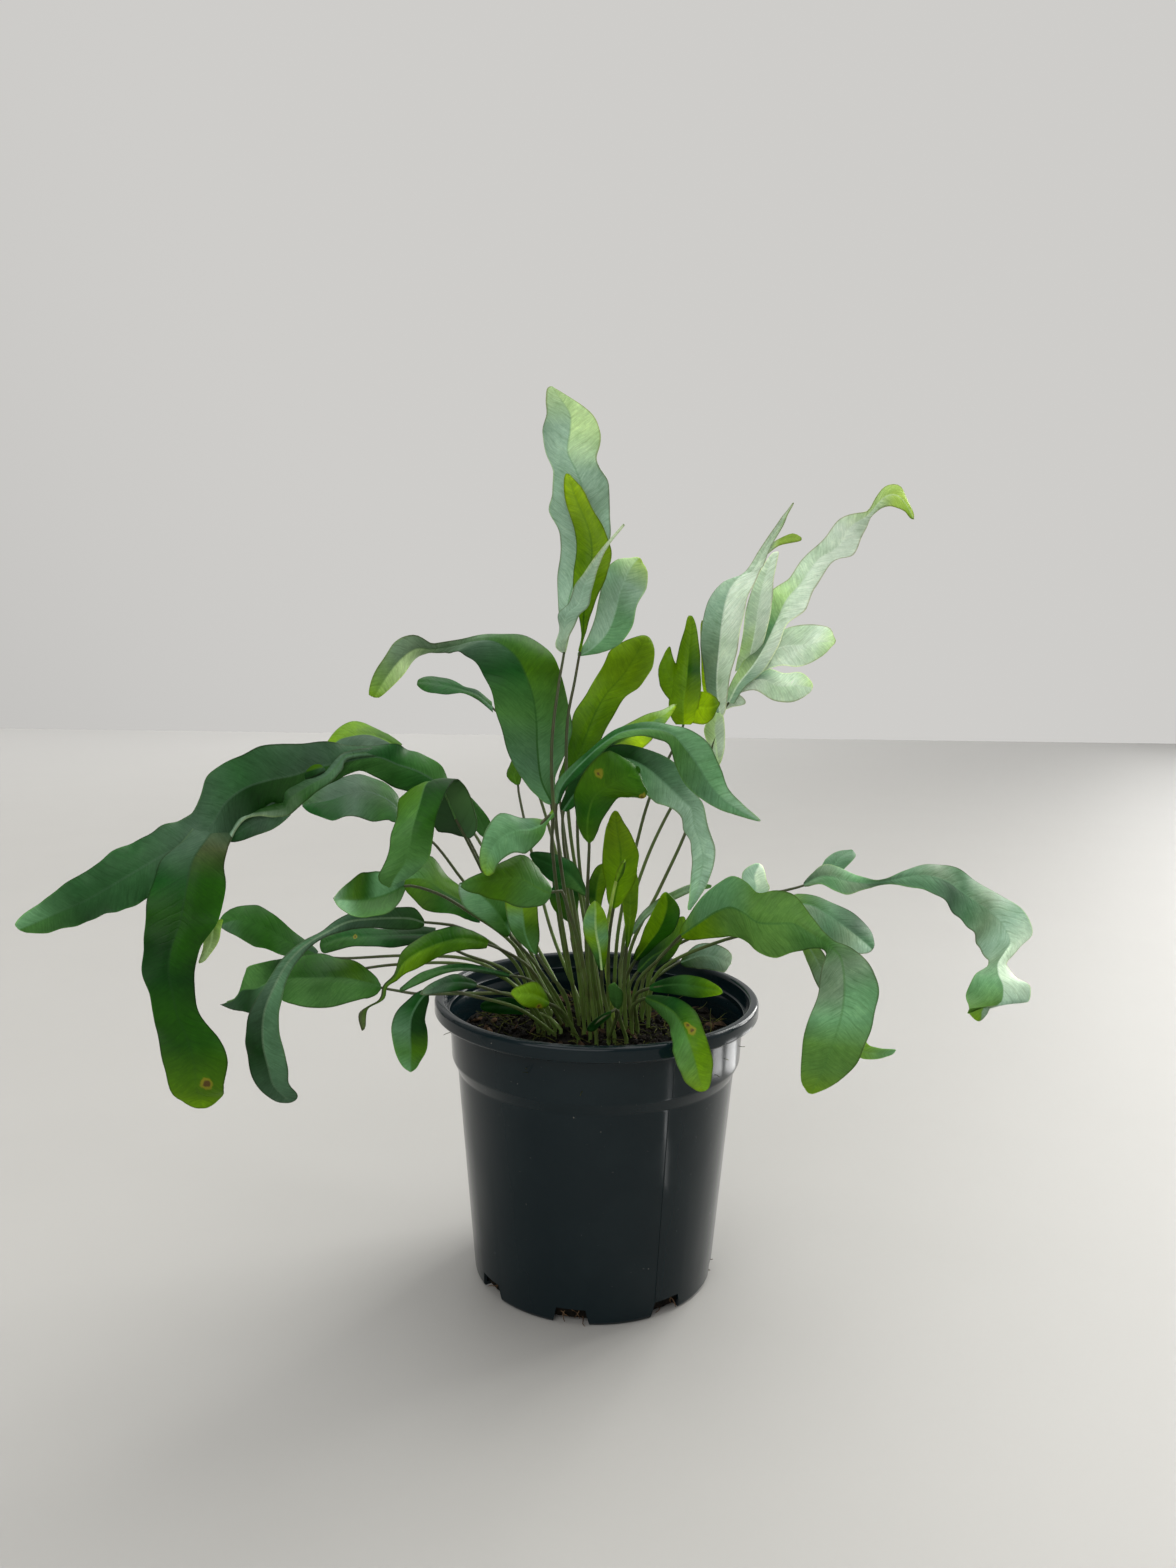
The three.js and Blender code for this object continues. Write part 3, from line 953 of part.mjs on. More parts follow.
// Tapered openings cut up from the foot, through the wall and the edge of the floor.
function notches() {
  const outline = new THREE.Shape([
    new THREE.Vector2(-NOTCH_WIDTH / 2, -NOTCH_BELOW),
    new THREE.Vector2(NOTCH_WIDTH / 2, -NOTCH_BELOW),
    new THREE.Vector2(NOTCH_TOP_WIDTH / 2, NOTCH_HEIGHT),
    new THREE.Vector2(-NOTCH_TOP_WIDTH / 2, NOTCH_HEIGHT),
  ]);
  const depth = RIM_RADIUS - NOTCH_INNER_RADIUS;
  const cuts = [];
  for (let i = 0; i < NOTCHES; i += 1) {
    const angle = THREE.MathUtils.degToRad(NOTCH_FIRST_ANGLE + (i * 360) / NOTCHES);
    const cut = new THREE.ExtrudeGeometry(outline, { depth, bevelEnabled: false });
    cut.rotateX(Math.PI / 2);
    cut.translate(0, -NOTCH_INNER_RADIUS, 0);
    cut.rotateZ(angle + Math.PI / 2);
    cuts.push(toSolid(cut));
  }
  return cuts.reduce((sum, cut) => sum.add(cut));
}

// Pot's inner radius at a height, on its straight stretches.
function innerRadius(z) {
  if (z > COLLAR_FOOT) return COLLAR_RADIUS - COLLAR_TAPER - WALL;
  const share = (z - FLOOR) / (STEP_HEIGHT - FLOOR);
  return BASE_RADIUS - WALL + (STEP_RADIUS - BASE_RADIUS) * Math.min(share, 1);
}

function buildSoil() {
  const under = FLOOR + GAP;
  const shelf = [under, STEP_HEIGHT, COLLAR_FOOT + COLLAR_TAPER];
  const points = [new THREE.Vector3(0, 0, under)];
  const ring = (radius, height) => {
    for (let k = 0; k < SOIL_SEGMENTS; k += 1) {
      const angle = (2 * Math.PI * k) / SOIL_SEGMENTS;
      const x = radius * Math.cos(angle);
      const y = radius * Math.sin(angle);
      points.push(new THREE.Vector3(x, y, height ?? soilTop(x, y)));
    }
  };
  shelf.forEach((z) => ring(innerRadius(z) - SOIL_GAP, z));
  const rim = innerRadius(SOIL_EDGE) - SOIL_GAP;
  for (let i = SOIL_RINGS; i > 0; i -= 1) ring((rim * i) / SOIL_RINGS);
  points.push(new THREE.Vector3(0, 0, soilTop(0, 0)));
  const rings = shelf.length + SOIL_RINGS;
  const triangles = [];
  for (let k = 0; k < SOIL_SEGMENTS; k += 1) {
    const next = (k + 1) % SOIL_SEGMENTS;
    triangles.push(0, 1 + next, 1 + k);
    for (let i = 0; i + 1 < rings; i += 1) {
      const low = 1 + i * SOIL_SEGMENTS;
      const high = low + SOIL_SEGMENTS;
      triangles.push(low + k, low + next, high + k, low + next, high + next, high + k);
    }
    const top = 1 + (rings - 1) * SOIL_SEGMENTS;
    triangles.push(top + k, top + next, points.length - 1);
  }
  return toGeometry(toSolid(fromGrid(points, triangles)).subtract(stalkHoles()));
}

// One plain upright hole for each stalk.
function stalkHoles() {
  const holes = FRONDS.map((frond) => {
    const root = rootOf(frond);
    const height = BURIED + GAP + HOLE_ABOVE;
    const hole = new THREE.CylinderGeometry(HOLE_RADIUS, HOLE_RADIUS, height, HOLE_SIDES);
    hole.rotateX(Math.PI / 2);
    hole.rotateZ(Math.PI / 4);
    hole.translate(root.x, root.y, root.z - BURIED - GAP + height / 2);
    return toSolid(hole);
  });
  return holes.reduce((sum, hole) => sum.add(hole));
}

function piece(name, geometry, color, roughness) {
  const material = new THREE.MeshStandardMaterial({ color, roughness, metalness: 0 });
  const mesh = new THREE.Mesh(geometry, material);
  mesh.name = name;
  return mesh;
}

const fern = new THREE.Group();
fern.add(piece('pot', buildPot(), POT_COLOUR, POT_ROUGHNESS));
fern.add(piece('soil', buildSoil(), SOIL_COLOUR, SOIL_ROUGHNESS));
FRONDS.forEach((frond) => {
  fern.add(piece(frond.name, buildFrond(frond), TONES[frond.tone], LEAF_ROUGHNESS));
});

export default fern;
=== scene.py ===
# The looks of a potted fern: its leaves, pot and soil, built over the solid model.

import json
import math

import bmesh
import bpy
import numpy as np
from mathutils import Matrix, Vector
from mathutils import noise as bnoise

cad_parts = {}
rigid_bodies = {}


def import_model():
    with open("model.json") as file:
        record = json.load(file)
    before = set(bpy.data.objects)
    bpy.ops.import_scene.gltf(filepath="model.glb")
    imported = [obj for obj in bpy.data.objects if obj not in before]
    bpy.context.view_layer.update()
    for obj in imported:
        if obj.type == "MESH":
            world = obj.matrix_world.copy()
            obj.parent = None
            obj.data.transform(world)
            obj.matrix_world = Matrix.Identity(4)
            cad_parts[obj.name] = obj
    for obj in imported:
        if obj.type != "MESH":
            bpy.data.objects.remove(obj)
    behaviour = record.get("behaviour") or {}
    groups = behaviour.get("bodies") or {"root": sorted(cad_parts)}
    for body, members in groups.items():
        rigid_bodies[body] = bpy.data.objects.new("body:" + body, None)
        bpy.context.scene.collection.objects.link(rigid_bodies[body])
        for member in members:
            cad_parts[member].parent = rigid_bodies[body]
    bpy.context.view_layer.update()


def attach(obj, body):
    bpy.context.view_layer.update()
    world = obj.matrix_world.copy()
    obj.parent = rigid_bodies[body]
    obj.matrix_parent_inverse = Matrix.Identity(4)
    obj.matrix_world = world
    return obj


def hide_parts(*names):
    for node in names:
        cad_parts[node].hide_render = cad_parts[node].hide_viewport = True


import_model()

MM = 0.001
SEED = 11

# Angles in degrees from which an edge stays sharp
SHARP = 35
LEAF_SHARP = 55

# Camera, as fitted to the pot in the photograph
LENS = 26.605
SENSOR = 36
PITCH_DOWN = 6.84
ROLL = 0.75

# The eye that the fronds' places are told from, in millimetres
EYE_ACROSS = -4.9
EYE_DISTANCE = 490.4
EYE_HEIGHT = 272.9

# Bed of the stalks
SPOT_ACROSS = 5
SPOT_FRONT = 4.5
REACH_POWER = 1.5

# Soil, as in the solid model
SOIL_EDGE = 104
SOIL_DOME = 8.5
SOIL_DOME_SPREAD = 30
SOIL_BUMP = 1.1

# Fineness and thickness of the blades
BLADE_STEP = 1.4
BLADE_ACROSS = 14
COLUMN_POWER = 0.9
BLADE_THICK = 0.42
EDGE_THICK = 0.24
JOINT_SUNK = 2
JOINT_LENGTH = 6

# Ends and sides of the blades
TIP_REACH = 0.55
TIP_WIDTH = 0.2
TIP_STEPS = 9
LEAST_ROWS = 6
SMOOTH_SIDES = 0.65
LEAST_SIDE = 0.1
LEAST_SQUARE = 0.02

# Relief of the blades: the groove over the midrib, waves and dents, calm near both ends
GROOVE_DEPTH = 0.35
GROOVE_WIDTH = 1.1
WAVE_LENGTH = (24, 42)
WAVE_SHARE = 0.12
WAVE_MOST = 1.4
WAVE_POWER = 2.2
SWAY_SHARE = 0.35
SWAY_LAG = 5
CALM_END = 8
DENT = 0.2

# Patches of light and shade on the blades
PATCHES = 0.14
PATCH_LENGTH = (9, 16)
PATCH_WIDTH = (5, 9)

# Stalks and midribs
STALK_SIDES = 8
STALK_STEP = 4
STALK_RADIUS = 0.82
STALK_CLEAR = 2.5
STALK_SUNK = 3
STALK_BEHIND = 0.6
STALK_RUN = 6
STALK_LOW = (0.11, 0.19, 0.035)
STALK_HIGH = (0.05, 0.07, 0.028)
STALK_FADE = (0.2, 0.5)
LINE_DENSE = 16
LINE_LEAST = 8
RIB_SIDES = 6
RIB_RADIUS = 0.5
RIB_END_RADIUS = 0.22
RIB_SUNK = 0.38
RIB_SHARE = 0.93
RIB_LINE = 0.45
BOLD_RIB_LINE = 0.85
RIB_LINE_END = 1.15
RIB_LIGHTER = 1.25
RIB_LIFT = 0.012

# Linear colours of the leaves. Besides the leaves' own greens they carry painted light and shade:
# the palest tones (milk, pale, fresh, lime) stand for leaves lit through from behind, and the
# darkest (ink, deep) for leaves in shade.
TONES = {
    "ink": (0.003, 0.036, 0.002), "deep": (0.008, 0.075, 0.009), "bottle": (0.013, 0.082, 0.001),
    "mid": (0.026, 0.1, 0.016), "leaf": (0.058, 0.175, 0.035), "green": (0.128, 0.31, 0.135),
    "blue": (0.087, 0.208, 0.102), "slate": (0.053, 0.112, 0.063), "grey": (0.165, 0.265, 0.155),
    "sage": (0.3, 0.48, 0.34), "pale": (0.58, 0.76, 0.55), "milk": (0.72, 0.87, 0.7),
    "lime": (0.36, 0.59, 0.001), "acid": (0.16, 0.3, 0.001), "apple": (0.155, 0.32, 0.01),
    "grass": (0.118, 0.255, 0.001), "olive": (0.047, 0.14, 0.001), "fresh": (0.55, 0.8, 0.35),
    "spring": (0.34, 0.52, 0.08), "meadow": (0.089, 0.213, 0.038), "jade": (0.025, 0.104, 0.028),
    "brown": (0.05, 0.072, 0.022),
}

# The tone of a stalk that differs from the rest
STALK_TONES = {"frond_crozier": "spring"}

# Brown and dry spots: the frond, across, up and radius
SPOTS = [
    ("frond_far_left", -171, 79, 2.4), ("frond_front_damaged", 0, 219, 1.9),
    ("frond_front_damaged", 3, 222, 1.2), ("frond_right_front_down", 42, 106, 1.7),
    ("frond_right_front_down", 39.8, 108.6, 1.1), ("frond_front_small_lime", -25, 116, 1.2),
    ("frond_left_dark_long", -105, 146, 0.9), ("frond_front_damaged", 18.5, 209, 1.2),
]
SPOT_SPREAD = 1.6

# The fronds, a block each. First a frond's name and leaf tone, the steps across and to the front
# where its stalk stands on the bed, its cup, its reach to the front, and its slope across and
# up. Then the points of its stalk: across, up and to the front. Then two lines for each blade.
# One has its tones from foot to tip, its second side after a slash where that differs, and its
# midrib's tone after a colon. These tones paint in the blade's light and shade as well as its
# green, so a blade's two sides often differ by how the light falls on them. The other has its rows:
# the two edges, each across and up, then front and lean. Millimetres, as seen from the eye. A line
# goes on after a comma or slash.
FRONDS = """
frond_far_left deep -5 1 0.22 45 0 -0.15
-36 150 6, -50 178 7, -58 194 8
leaf deep slate jade slate jade jade green / deep mid mid ink slate jade jade leaf
-64 213 -67 206 9 3, -67 220 -74 208 11 6, -74 226 -82 210 14 9, -81 227.5 -92 214 17 10,
-88 230 -101 218 21 10, -97 229.5 -106 217.5 25 8, -108 229.5 -113 214 29 4,
-122 230.6 -120 209.5 33 0, -134 229.5 -128 204.5 36 -4, -146 227.5 -137 202.5 38 -6,
-158 222.5 -146 200 40 -6, -167 214.5 -154 194 41 -4, -172 203 -160 186 42 0,
-178 197 -168 177 42 4, -188 192.5 -180 171 42 6, -204 184.5 -194 162 41 4,
-215 177.5 -205 157 40 0, -225 170.5 -216 153 39 -4, -235 164 -227 149.5 38 -3,
-242.8 158.2 -237.2 146 37 0, -251.6 150.6 -245.4 146 36 0
slate slate deep bottle ink ink bottle bottle olive grass /
slate brown bottle bottle bottle ink bottle bottle olive grass
-168 198 -156 193 38 0, -178 188 -158.5 186 45 1, -188 179 -160 178 48 2, -192 168 -161 168 50 4,
-195.8 152 -164.5 151 51 4, -197 140 -172 140 52 2, -197.5 130 -175 130 52 0,
-195 120 -175.5 120 51 -3, -194 110 -172.5 110 49 -3, -192 99 -165.5 100 47 0,
-189.5 88 -162 89 45 3, -187.5 79 -163 79 43 3, -185.6 75 -163.2 75.6 41 1,
-184.4 73 -164 73.8 40 0
slate slate deep / blue slate deep
-134 206 -132 199 34 0, -142 204 -139 193 36 0, -150 200 -148 189.6 38 0, -157 192 -157 187 40 0
apple fresh
-171 153 -162 153 49 -4, -171 141 -164.4 143 47 0, -173 134 -169.4 135.6 47 0
slate slate mid slate / deep slate mid grey sage
-87 230.2 -85.4 225.2 15.5 1, -97.6 228.4 -96 224.6 23 1, -107.6 226.4 -107.4 223.2 30 2,
-112.4 223.6 -109.8 218.6 32.5 3, -117.8 217.6 -114.6 213.2 36 4, -125 214.6 -122.2 208.2 38.2 4,
-134.2 210.2 -128.6 202 39 4, -135.2 205.4 -133 198.4 37.5 4, -140.6 203.4 -139 198 37.5 3,
-146.8 201 -145.2 198.6 38.5 2, -153 200 -151 197.2 40 2, -158.2 192.6 -155.6 192 40.5 1,
-160.8 185.6 -160 183 46 0
olive olive mid / slate ink ink
-114.4 223 -114.8 218.6 33.5 0, -119 222.4 -118 217.4 34.5 1, -124 221.8 -123.2 215 35.8 1,
-128 220.6 -126.6 214 36.6 0, -129 219 -128.4 217 36.8 0

frond_left_top_yellow lime -3 -3 0.2 -55 0 -0.6
-30 150 -20, -52 190 -24, -70 215 -25
olive olive grass grass acid / slate slate slate slate
-84 230 -86 226 -24 0, -92 235.5 -93 227 -22 4, -99 238.8 -99 226 -20 6, -106 238 -105 225 -18 6,
-111 236.3 -110 224 -16 4, -115.5 231 -114 223 -14 0, -117 226 -116 223.5 -13 0

frond_left_blue blue -4 -1 0.15 -25 0 -0.7
-33 142 -4, -57 170 -5, -71 188 -3
mid mid slate slate mid / deep mid slate deep deep : slate
-83 200 -84 196.5 -1 2, -87.5 210 -90 197.2 2 6, -93 215.5 -96 197.6 4 8, -100 217 -102 199.2 6 8,
-107 215.4 -108 198.2 8 7, -114 213 -114 196 9 6, -121 208.5 -121 198.8 11 4,
-126 205 -126 202 12 2

frond_left_fold mid -4 2 0.2 25 0 -0.2
-36 144 14, -50 176 20, -56 188 22
ink deep olive leaf leaf leaf / deep leaf ink bottle leaf green
-60 191 -55 190 24 0, -69 193 -52 199 23 0, -73 201 -54.5 207 23 -2, -77 209.5 -59 214.5 27 -3,
-85 208 -62 214.5 35 0, -86.5 199 -67 205 42 2, -88.5 191 -70 197 45 3, -90 185 -71.5 189 46 3,
-92.5 178 -73.5 180.5 46 2, -94.8 172.5 -80 173.5 46 0, -91.5 168.8 -86.5 170 46 0

frond_left_olive_wide olive -4 0 0.18 -15 0 -0.5
-31 137 1, -42 149 3
green olive olive olive leaf green / deep bottle bottle olive olive
-49 158 -51 153 6 0, -58 168 -60 155.5 8 3, -65 174.5 -68 156.5 9 5, -72 181 -75 159 10 5,
-79 179 -79.5 163.5 11 3, -84 173 -84 169 12 0

frond_left_spoon deep -1 -3 0.15 -70 0 -0.6
-12 160 -10, -26 210 -8, -38 238 -6
leaf slate deep deep mid / blue mid deep deep mid
-46 248.5 -45.5 244 -4 0, -52 252.8 -52 249.4 -3 1, -58 254.8 -59 252 -2 1, -64 258 -66 251 -1 3,
-70 259.5 -72 251.6 0 3, -76 258 -77 254.5 1 1

frond_big_left_top blue -2 -1 0.2 5 -0.35 -0.15
-14 140 1, -20 180 3
green blue leaf deep slate grey fresh apple / mid green leaf olive mid grey grey apple : mid
-21.5 205 -19 206 6 0, -32 215 -18.5 217 9 1, -40 230 -14.5 229 12 2, -44 242 -12 239 14 2,
-46 252 -13.5 250 15 1, -49 260 -18 262 15 0, -53 265 -23 270.5 14 -2, -57 267.5 -32 277 13 -3,
-61 268.6 -44 277.5 12 -3, -65 269 -58 275 12 0, -72 268.8 -71 272.6 13 4, -77 266.5 -79 276 14 8,
-82 262 -87 272.5 16 8, -86.5 256.5 -94 263.5 18 5, -92.5 250.5 -98 252 20 1

frond_small_oval_back olive -2 -3 0.1 -45 0.3 -0.4
-20 150 -14, -30 190 -13, -34 208 -12
olive olive olive grass
-36 213.5 -34 213.5 -11 0, -39.5 217 -33 217 -11 2, -38.5 222 -30 223 -10 2, -35 227 -29 228 -9 1

frond_left_cup mid -4 3 -0.35 30 0 -0.5
-35 142 16, -56 158 21, -70 166 23
blue green green bottle olive leaf sage / leaf leaf leaf leaf green green
-83 171 -83 167 25 0, -88 174 -86 161 27 4, -95 175.5 -93 155.6 29 8, -101 174.5 -101 154 31 8,
-106.5 170.5 -108 157 33 6, -112.5 165 -113 161 35 0

frond_left_grey slate -5 2 0.18 35 0 0
-36 136 15, -60 151 18, -69 152.5 19
mid slate blue slate ink slate / mid slate slate blue blue slate : grey
-75 154 -75 151.4 20 0, -80 159.5 -82 149.6 22 3, -88 159.5 -89 149.7 24 4,
-98 158 -99 149.9 27 4, -108 156 -108 149 30 4, -118.5 149 -116 146.5 33 3,
-128 143.5 -125 140.6 35 2, -137 135.5 -131 133.5 36 2, -144 125 -135.5 124 37 3,
-151 112 -138.5 112 37 4, -153.8 99 -137.6 99 36 4, -152 88 -135.5 88 35 3,
-149 78.5 -134.5 80 34 1, -142 72 -131 74.5 33 0

frond_left_leaf_a mid -5 3 0.15 10 0 -0.7
-34 120.5 26, -55 121.5 30, -78 121 25, -88 122.5 21
mid olive mid bottle leaf / bottle leaf leaf leaf mid
-94 125 -94 122.8 19 0, -99.5 131.6 -99.5 118.4 17 2, -107 136 -108 116.8 15 3,
-115 138 -118 115.3 13 3, -122 138.3 -127 114 11 3, -128 137 -135 115.5 9 2, -135 131 -139 119 8 0

frond_left_leaf_b mid -5 -1 0.15 -60 0 -0.5
-50 135 0, -80 138 -2, -112 136.5 -2
slate mid bottle mid mid / mid mid bottle mid slate
-121 139.5 -122 136.5 -2 0, -131.6 148 -134 137 -2 2, -140 156 -141.5 139 -2 3,
-147.5 160 -149 141.5 -1 3, -155 159 -156.5 146 0 2, -163.5 152 -162 148.8 1 0

frond_left_back_tip deep -4 -2 0.12 -35 0 -0.4
-50 133 -14, -87 134 -18, -112 130 -18
mid ink leaf leaf / mid blue ink slate
-124 131 -124 126 -18 0, -134 136 -136 119 -18 2, -141 136 -143 114 -18 3,
-147 133.5 -149 110.5 -17 3, -152.5 131 -155 112 -16 2, -153.5 124 -160 113 -16 0,
-157.5 117.5 -164 115 -15 0

frond_left_dark_long deep -5 0 0.15 0 0 -0.7
-38 131 4, -60 140 6
ink ink deep deep mid / ink ink deep mid mid
-70 150.5 -70 143.6 9 0, -80 151 -80 142.6 10 2, -90 150.5 -90 142 11 3, -100 150 -100 141.6 12 3,
-110 149.8 -110 141 13 2, -118 147 -118 138.6 14 0

frond_left_olive olive -3 2 0.18 25 0 -0.6
-29 133 18, -38 139.5 21
olive bottle olive brown brown / olive olive grass olive brown
-47 145.5 -48 141.8 24 0, -55 150 -57 141 27 2, -62 151 -66 138.6 30 3, -70 149.6 -74 134.6 33 3,
-78 145.5 -80 131.6 35 2, -85 139 -84.5 128.8 36 1, -88 130 -87.5 126.4 37 0,
-93 124.5 -91 124 38 0, -95 118 -92.6 118.5 38 0, -103.5 112 -99.5 114 37 0,
-102.6 104.8 -100.8 106 37 0

frond_left_low_a blue -3 3 0.12 35 0 -0.8
-24 124 30, -32 129 34
ink deep deep mid mid / ink ink mid mid mid
-38 131 -38 128.8 37 0, -48 133.4 -48 130.6 39 1, -57 134.6 -58 131.4 41 1,
-66 134 -68 129.6 43 2, -75 131.4 -76 126.2 44 2, -84.5 124.5 -84.5 122 45 0

frond_left_low_b blue -4 4 0.12 30 0 -0.8
-30 118.5 28, -42 122 33
ink ink deep slate blue grey / ink ink deep slate slate grey
-52 126.4 -52.5 124.2 37 0, -57 129 -58 123.2 38 1, -63 129.7 -65 122 39 2, -70 127 -71 121 40 1,
-76 122.4 -75.5 120.6 41 0

frond_left_low_c mid -4 5 0.2 20 0 0
-34 115 35, -52 120 42, -66 122.8 43
deep deep blue leaf green / ink ink ink olive leaf
-74 123.2 -73 121 43 0, -81 119.4 -73.2 117 44 1, -87 113 -74.6 110 45 2,
-89.3 105 -73.8 104 45 3, -88 96 -74.4 96 44 3, -85.8 89.6 -77 90.5 43 1,
-82.6 86.4 -79.6 86.6 43 0

frond_front_fold mid -2 3 0.15 30 0 -0.4
-13 140 26, -18 170 34, -20 190 38
apple blue green green apple / leaf leaf green green apple
-20 203 -19 200 41 0, -24.5 198.4 -22.6 195.5 43 2, -33 199.4 -26 188 46 4,
-41.5 201.5 -31 184.2 50 4, -47.5 195 -38 183.4 54 3, -51 186 -43.5 178 57 1,
-49.6 175.4 -46 174.2 59 0

frond_front_big grass -1 5 0.22 40 0 -0.9
-6 135 32, -13 160 36, -16.5 168 38
leaf leaf olive olive leaf
-20 168.5 -21 164 40 0, -22.6 172.5 -24 161 42 2, -27 178 -31 160.2 45 4, -33 183.4 -38 161 48 4,
-40 180.6 -44.5 162.8 51 3, -48 175.8 -51 165.6 53 1, -58.5 170.2 -58 167.8 54 0

frond_front_under blue -3 1 0.15 15 0 -0.4
-18 122 14, -29 138 22
green bottle leaf leaf mid mid / bottle leaf green green sage
-37.5 150 -38.5 147 27 0, -37 158 -46 151 30 2, -39 165 -52 155.3 33 3, -45 171 -57 159.5 36 3,
-52 172 -59.5 164.5 38 1, -58 171 -60 168.6 39 0

frond_front_tongue grass -2 4 0.15 20 0 -0.3
-14 122 27, -20 130 31
leaf leaf leaf green apple leaf / leaf leaf olive apple olive
-27.5 139.6 -26 139 34 0, -32.6 143.5 -25.6 142.5 35 1, -38 150 -25 149 36 1,
-39.4 157 -25.5 157 37 0, -40 164 -27 164 38 0

frond_dark_centre deep 0 3 0.15 12 0 -0.3
-2 135 22, -3.5 155 25
mid mid deep ink ink / leaf leaf deep ink ink
-4.8 167.6 -5.8 165.4 26 0, -7.5 174 -10 167.6 26 2, -11 180.5 -15 169.8 26 3,
-17 183.3 -21 172.4 27 3, -24 184.4 -26 177 29 1, -29 184 -28.4 181 31 0

frond_dark_back olive -1 1 0.12 0 0 0
-7 130 7, -11 146 7
mid olive deep deep
-13 154 -10 153.4 8 0, -19.5 160 -9 158 8 0, -21 166 -8 165 8 0, -17 172 -7.5 171 8 0

frond_left_back_olive olive -3 0 0.12 -25 0 -0.4
-31 145 3, -42 172 4
mid bottle bottle bottle
-48.8 190 -47.6 190 5 0, -55 197 -46 196.4 6 0, -58 204.6 -50 202.4 7 0, -60 211 -56 209 8 0

frond_back_small fresh 0 -3 0.12 -15 0 0
-1 140 -13
apple bottle olive grass / apple grass grass apple
-1.2 157.2 0 157 -12 0, -3.8 164 2 163 -12 0, -4.2 171 3.4 170 -11 0, -1.8 177 3.6 176 -10 0,
0.8 179.4 3 178.6 -9 0

frond_centre_lime lime -1 -2 0.2 -35 -0.4 0
-8 150 -6, -15 195 -7
olive olive grass acid acid : olive
-17.5 214 -15.5 213 -6 0, -15.5 224 -6 223 -5 2, -13 236 0 232 -3 3, -10.5 245 5 242 -1 4,
-6 253 10 251 0 4, -1 262 17 256.5 1 3, 3 269.6 21.8 263 3 2, 8 273.6 22.4 268.5 4 1,
14 276.4 21.4 274 5 0

frond_top_tall pale -1 2 0.15 -12 0.2 0
-10 150 17, -19 200 24, -20.5 230 25, -18 255 22
sage sage sage sage sage sage fresh / sage pale sage sage sage fresh fresh : green
-16.6 270 -15 270 18 0, -17 280 -12.5 280 17 0, -18.6 290 -9 289 17 2, -18.6 299 -4 298 17 4,
-17.3 309 1.6 308 18 2, -18.4 319 2.6 318 19 -2, -22.9 328 2.7 329 19 -5, -20.8 336 2.7 339 20 -3,
-20.8 344 -1.5 345 21 2, -25 352 -3.6 351.5 21 5, -25.8 360 -1.2 359.5 21 3,
-23.4 367 -4.5 366.5 22 0, -24 373 -12 372 23 -2, -23 377.5 -19.5 376.5 24 0
pale sage sage pale pale
-16.8 269.5 -15 269.5 19 0, -19.3 272.5 -14.4 273 23 3, -18.4 279 -12.4 279 27 5,
-18.6 285.6 -10 285 30 5, -13.6 290.4 -5.6 289 32 3, -11 298 -4 296 33 0, -7 303.4 -2.6 303 33 -3,
-2 310.8 0 309.4 32 -2, 2.6 316.6 3.6 315.8 31 0, 7.8 322.6 8.6 322 30 0

frond_top_round pale 0 2 0.15 -6 0.2 0
-5 150 13, -13 200 19, -14 240 19, -11 258 17
grass grass grass acid lime / grass grass acid acid lime : olive
-9.8 270.4 -8.6 270 17 0, -8.6 277.6 -7 277 18 0, -10 286 -5 285 20 1, -11.6 295 -1.4 294 21 2,
-11.8 304 2.2 302 22 2, -11.4 313 3.2 312 22 2, -12.2 321 0.6 320.6 22 1, -14 327 -4 328.6 22 0,
-16 334 -8.6 336.6 22 0, -16 342.6 -13 341.6 22 0
green sage sage sage fresh / green green green sage spring
-10 268.4 -8.6 268.2 17 0, -7 274 0 269.8 15.5 -2, -3.5 283 7.6 273.2 12 -3,
-1.6 291 12.4 281 10 -2, 0.4 299 14.6 289.6 9 0, 2.2 305.6 18.4 297 8 2, 6 308.6 19 303 7 1,
11 309 17 306.6 6 0

frond_right_lime_lobed lime 1 -1 0.15 -25 0.4 0
9 150 -3, 16 187 -2, 22 210 -1
acid grass grass grass acid / lime acid bottle grass grass
32 240 38.4 240 0 0, 29.2 244.4 41.2 243.8 0.6 0, 28.4 249.4 42 249.6 1 1,
30.4 256.8 42 257.8 2 2, 31.8 265.2 41.6 265 2 2, 33 273.8 41.2 273.2 3 1, 34.8 280.4 40 280 4 0,
36 285.2 38.2 285 5 0
grass grass grass acid
31 248.6 32.8 265.2 1.5 0, 27.2 252.8 31.2 265.8 3 1, 24.4 258.4 30.2 268.2 5 1,
24.2 264 29.4 270.6 6 0, 26.4 269.4 28.8 272.6 7 0
lime lime lime acid grass
39.2 240.6 41.2 254.2 1.5 0, 44 240.2 45.2 253.6 4 1, 47.4 242.4 48 252.2 6 1,
49.2 246.4 49.6 250.4 7 0

frond_right_top_lobed pale 2 -2 0.15 -70 0.3 0
12 150 -10, 20 180 -15, 30 203 -19, 43 226 -20, 50 243 -18
sage fresh grey green fresh pale pale milk fresh spring spring /
sage sage milk milk milk milk milk milk pale spring apple : milk
51.9 250.4 56.4 248.9 -17 0, 54.7 257.8 61 256 -17 1, 59.3 265.6 69 264.2 -17 2,
63.8 273.2 74.4 273.4 -17 2, 69 284.4 78.2 282.8 -17 2, 70 295.8 85.2 289 -16 3,
78 301.2 88.2 297.2 -15 3, 84 310.2 96 308.2 -14 2, 91.4 317.8 104.2 311.6 -12 -1,
97.8 326.2 107.6 319.6 -10 -3, 108.4 329.2 110.6 326.2 -8 -3, 113 335.2 115 330.4 -6 0,
117.2 339.6 118.4 331.4 -4 3, 122.4 339.8 121.4 330.6 -2 4, 126 334 125.2 329.2 0 2,
128.8 327.2 128.2 326.6 1 0
pale fresh pale pale pale milk / pale milk milk milk milk : milk
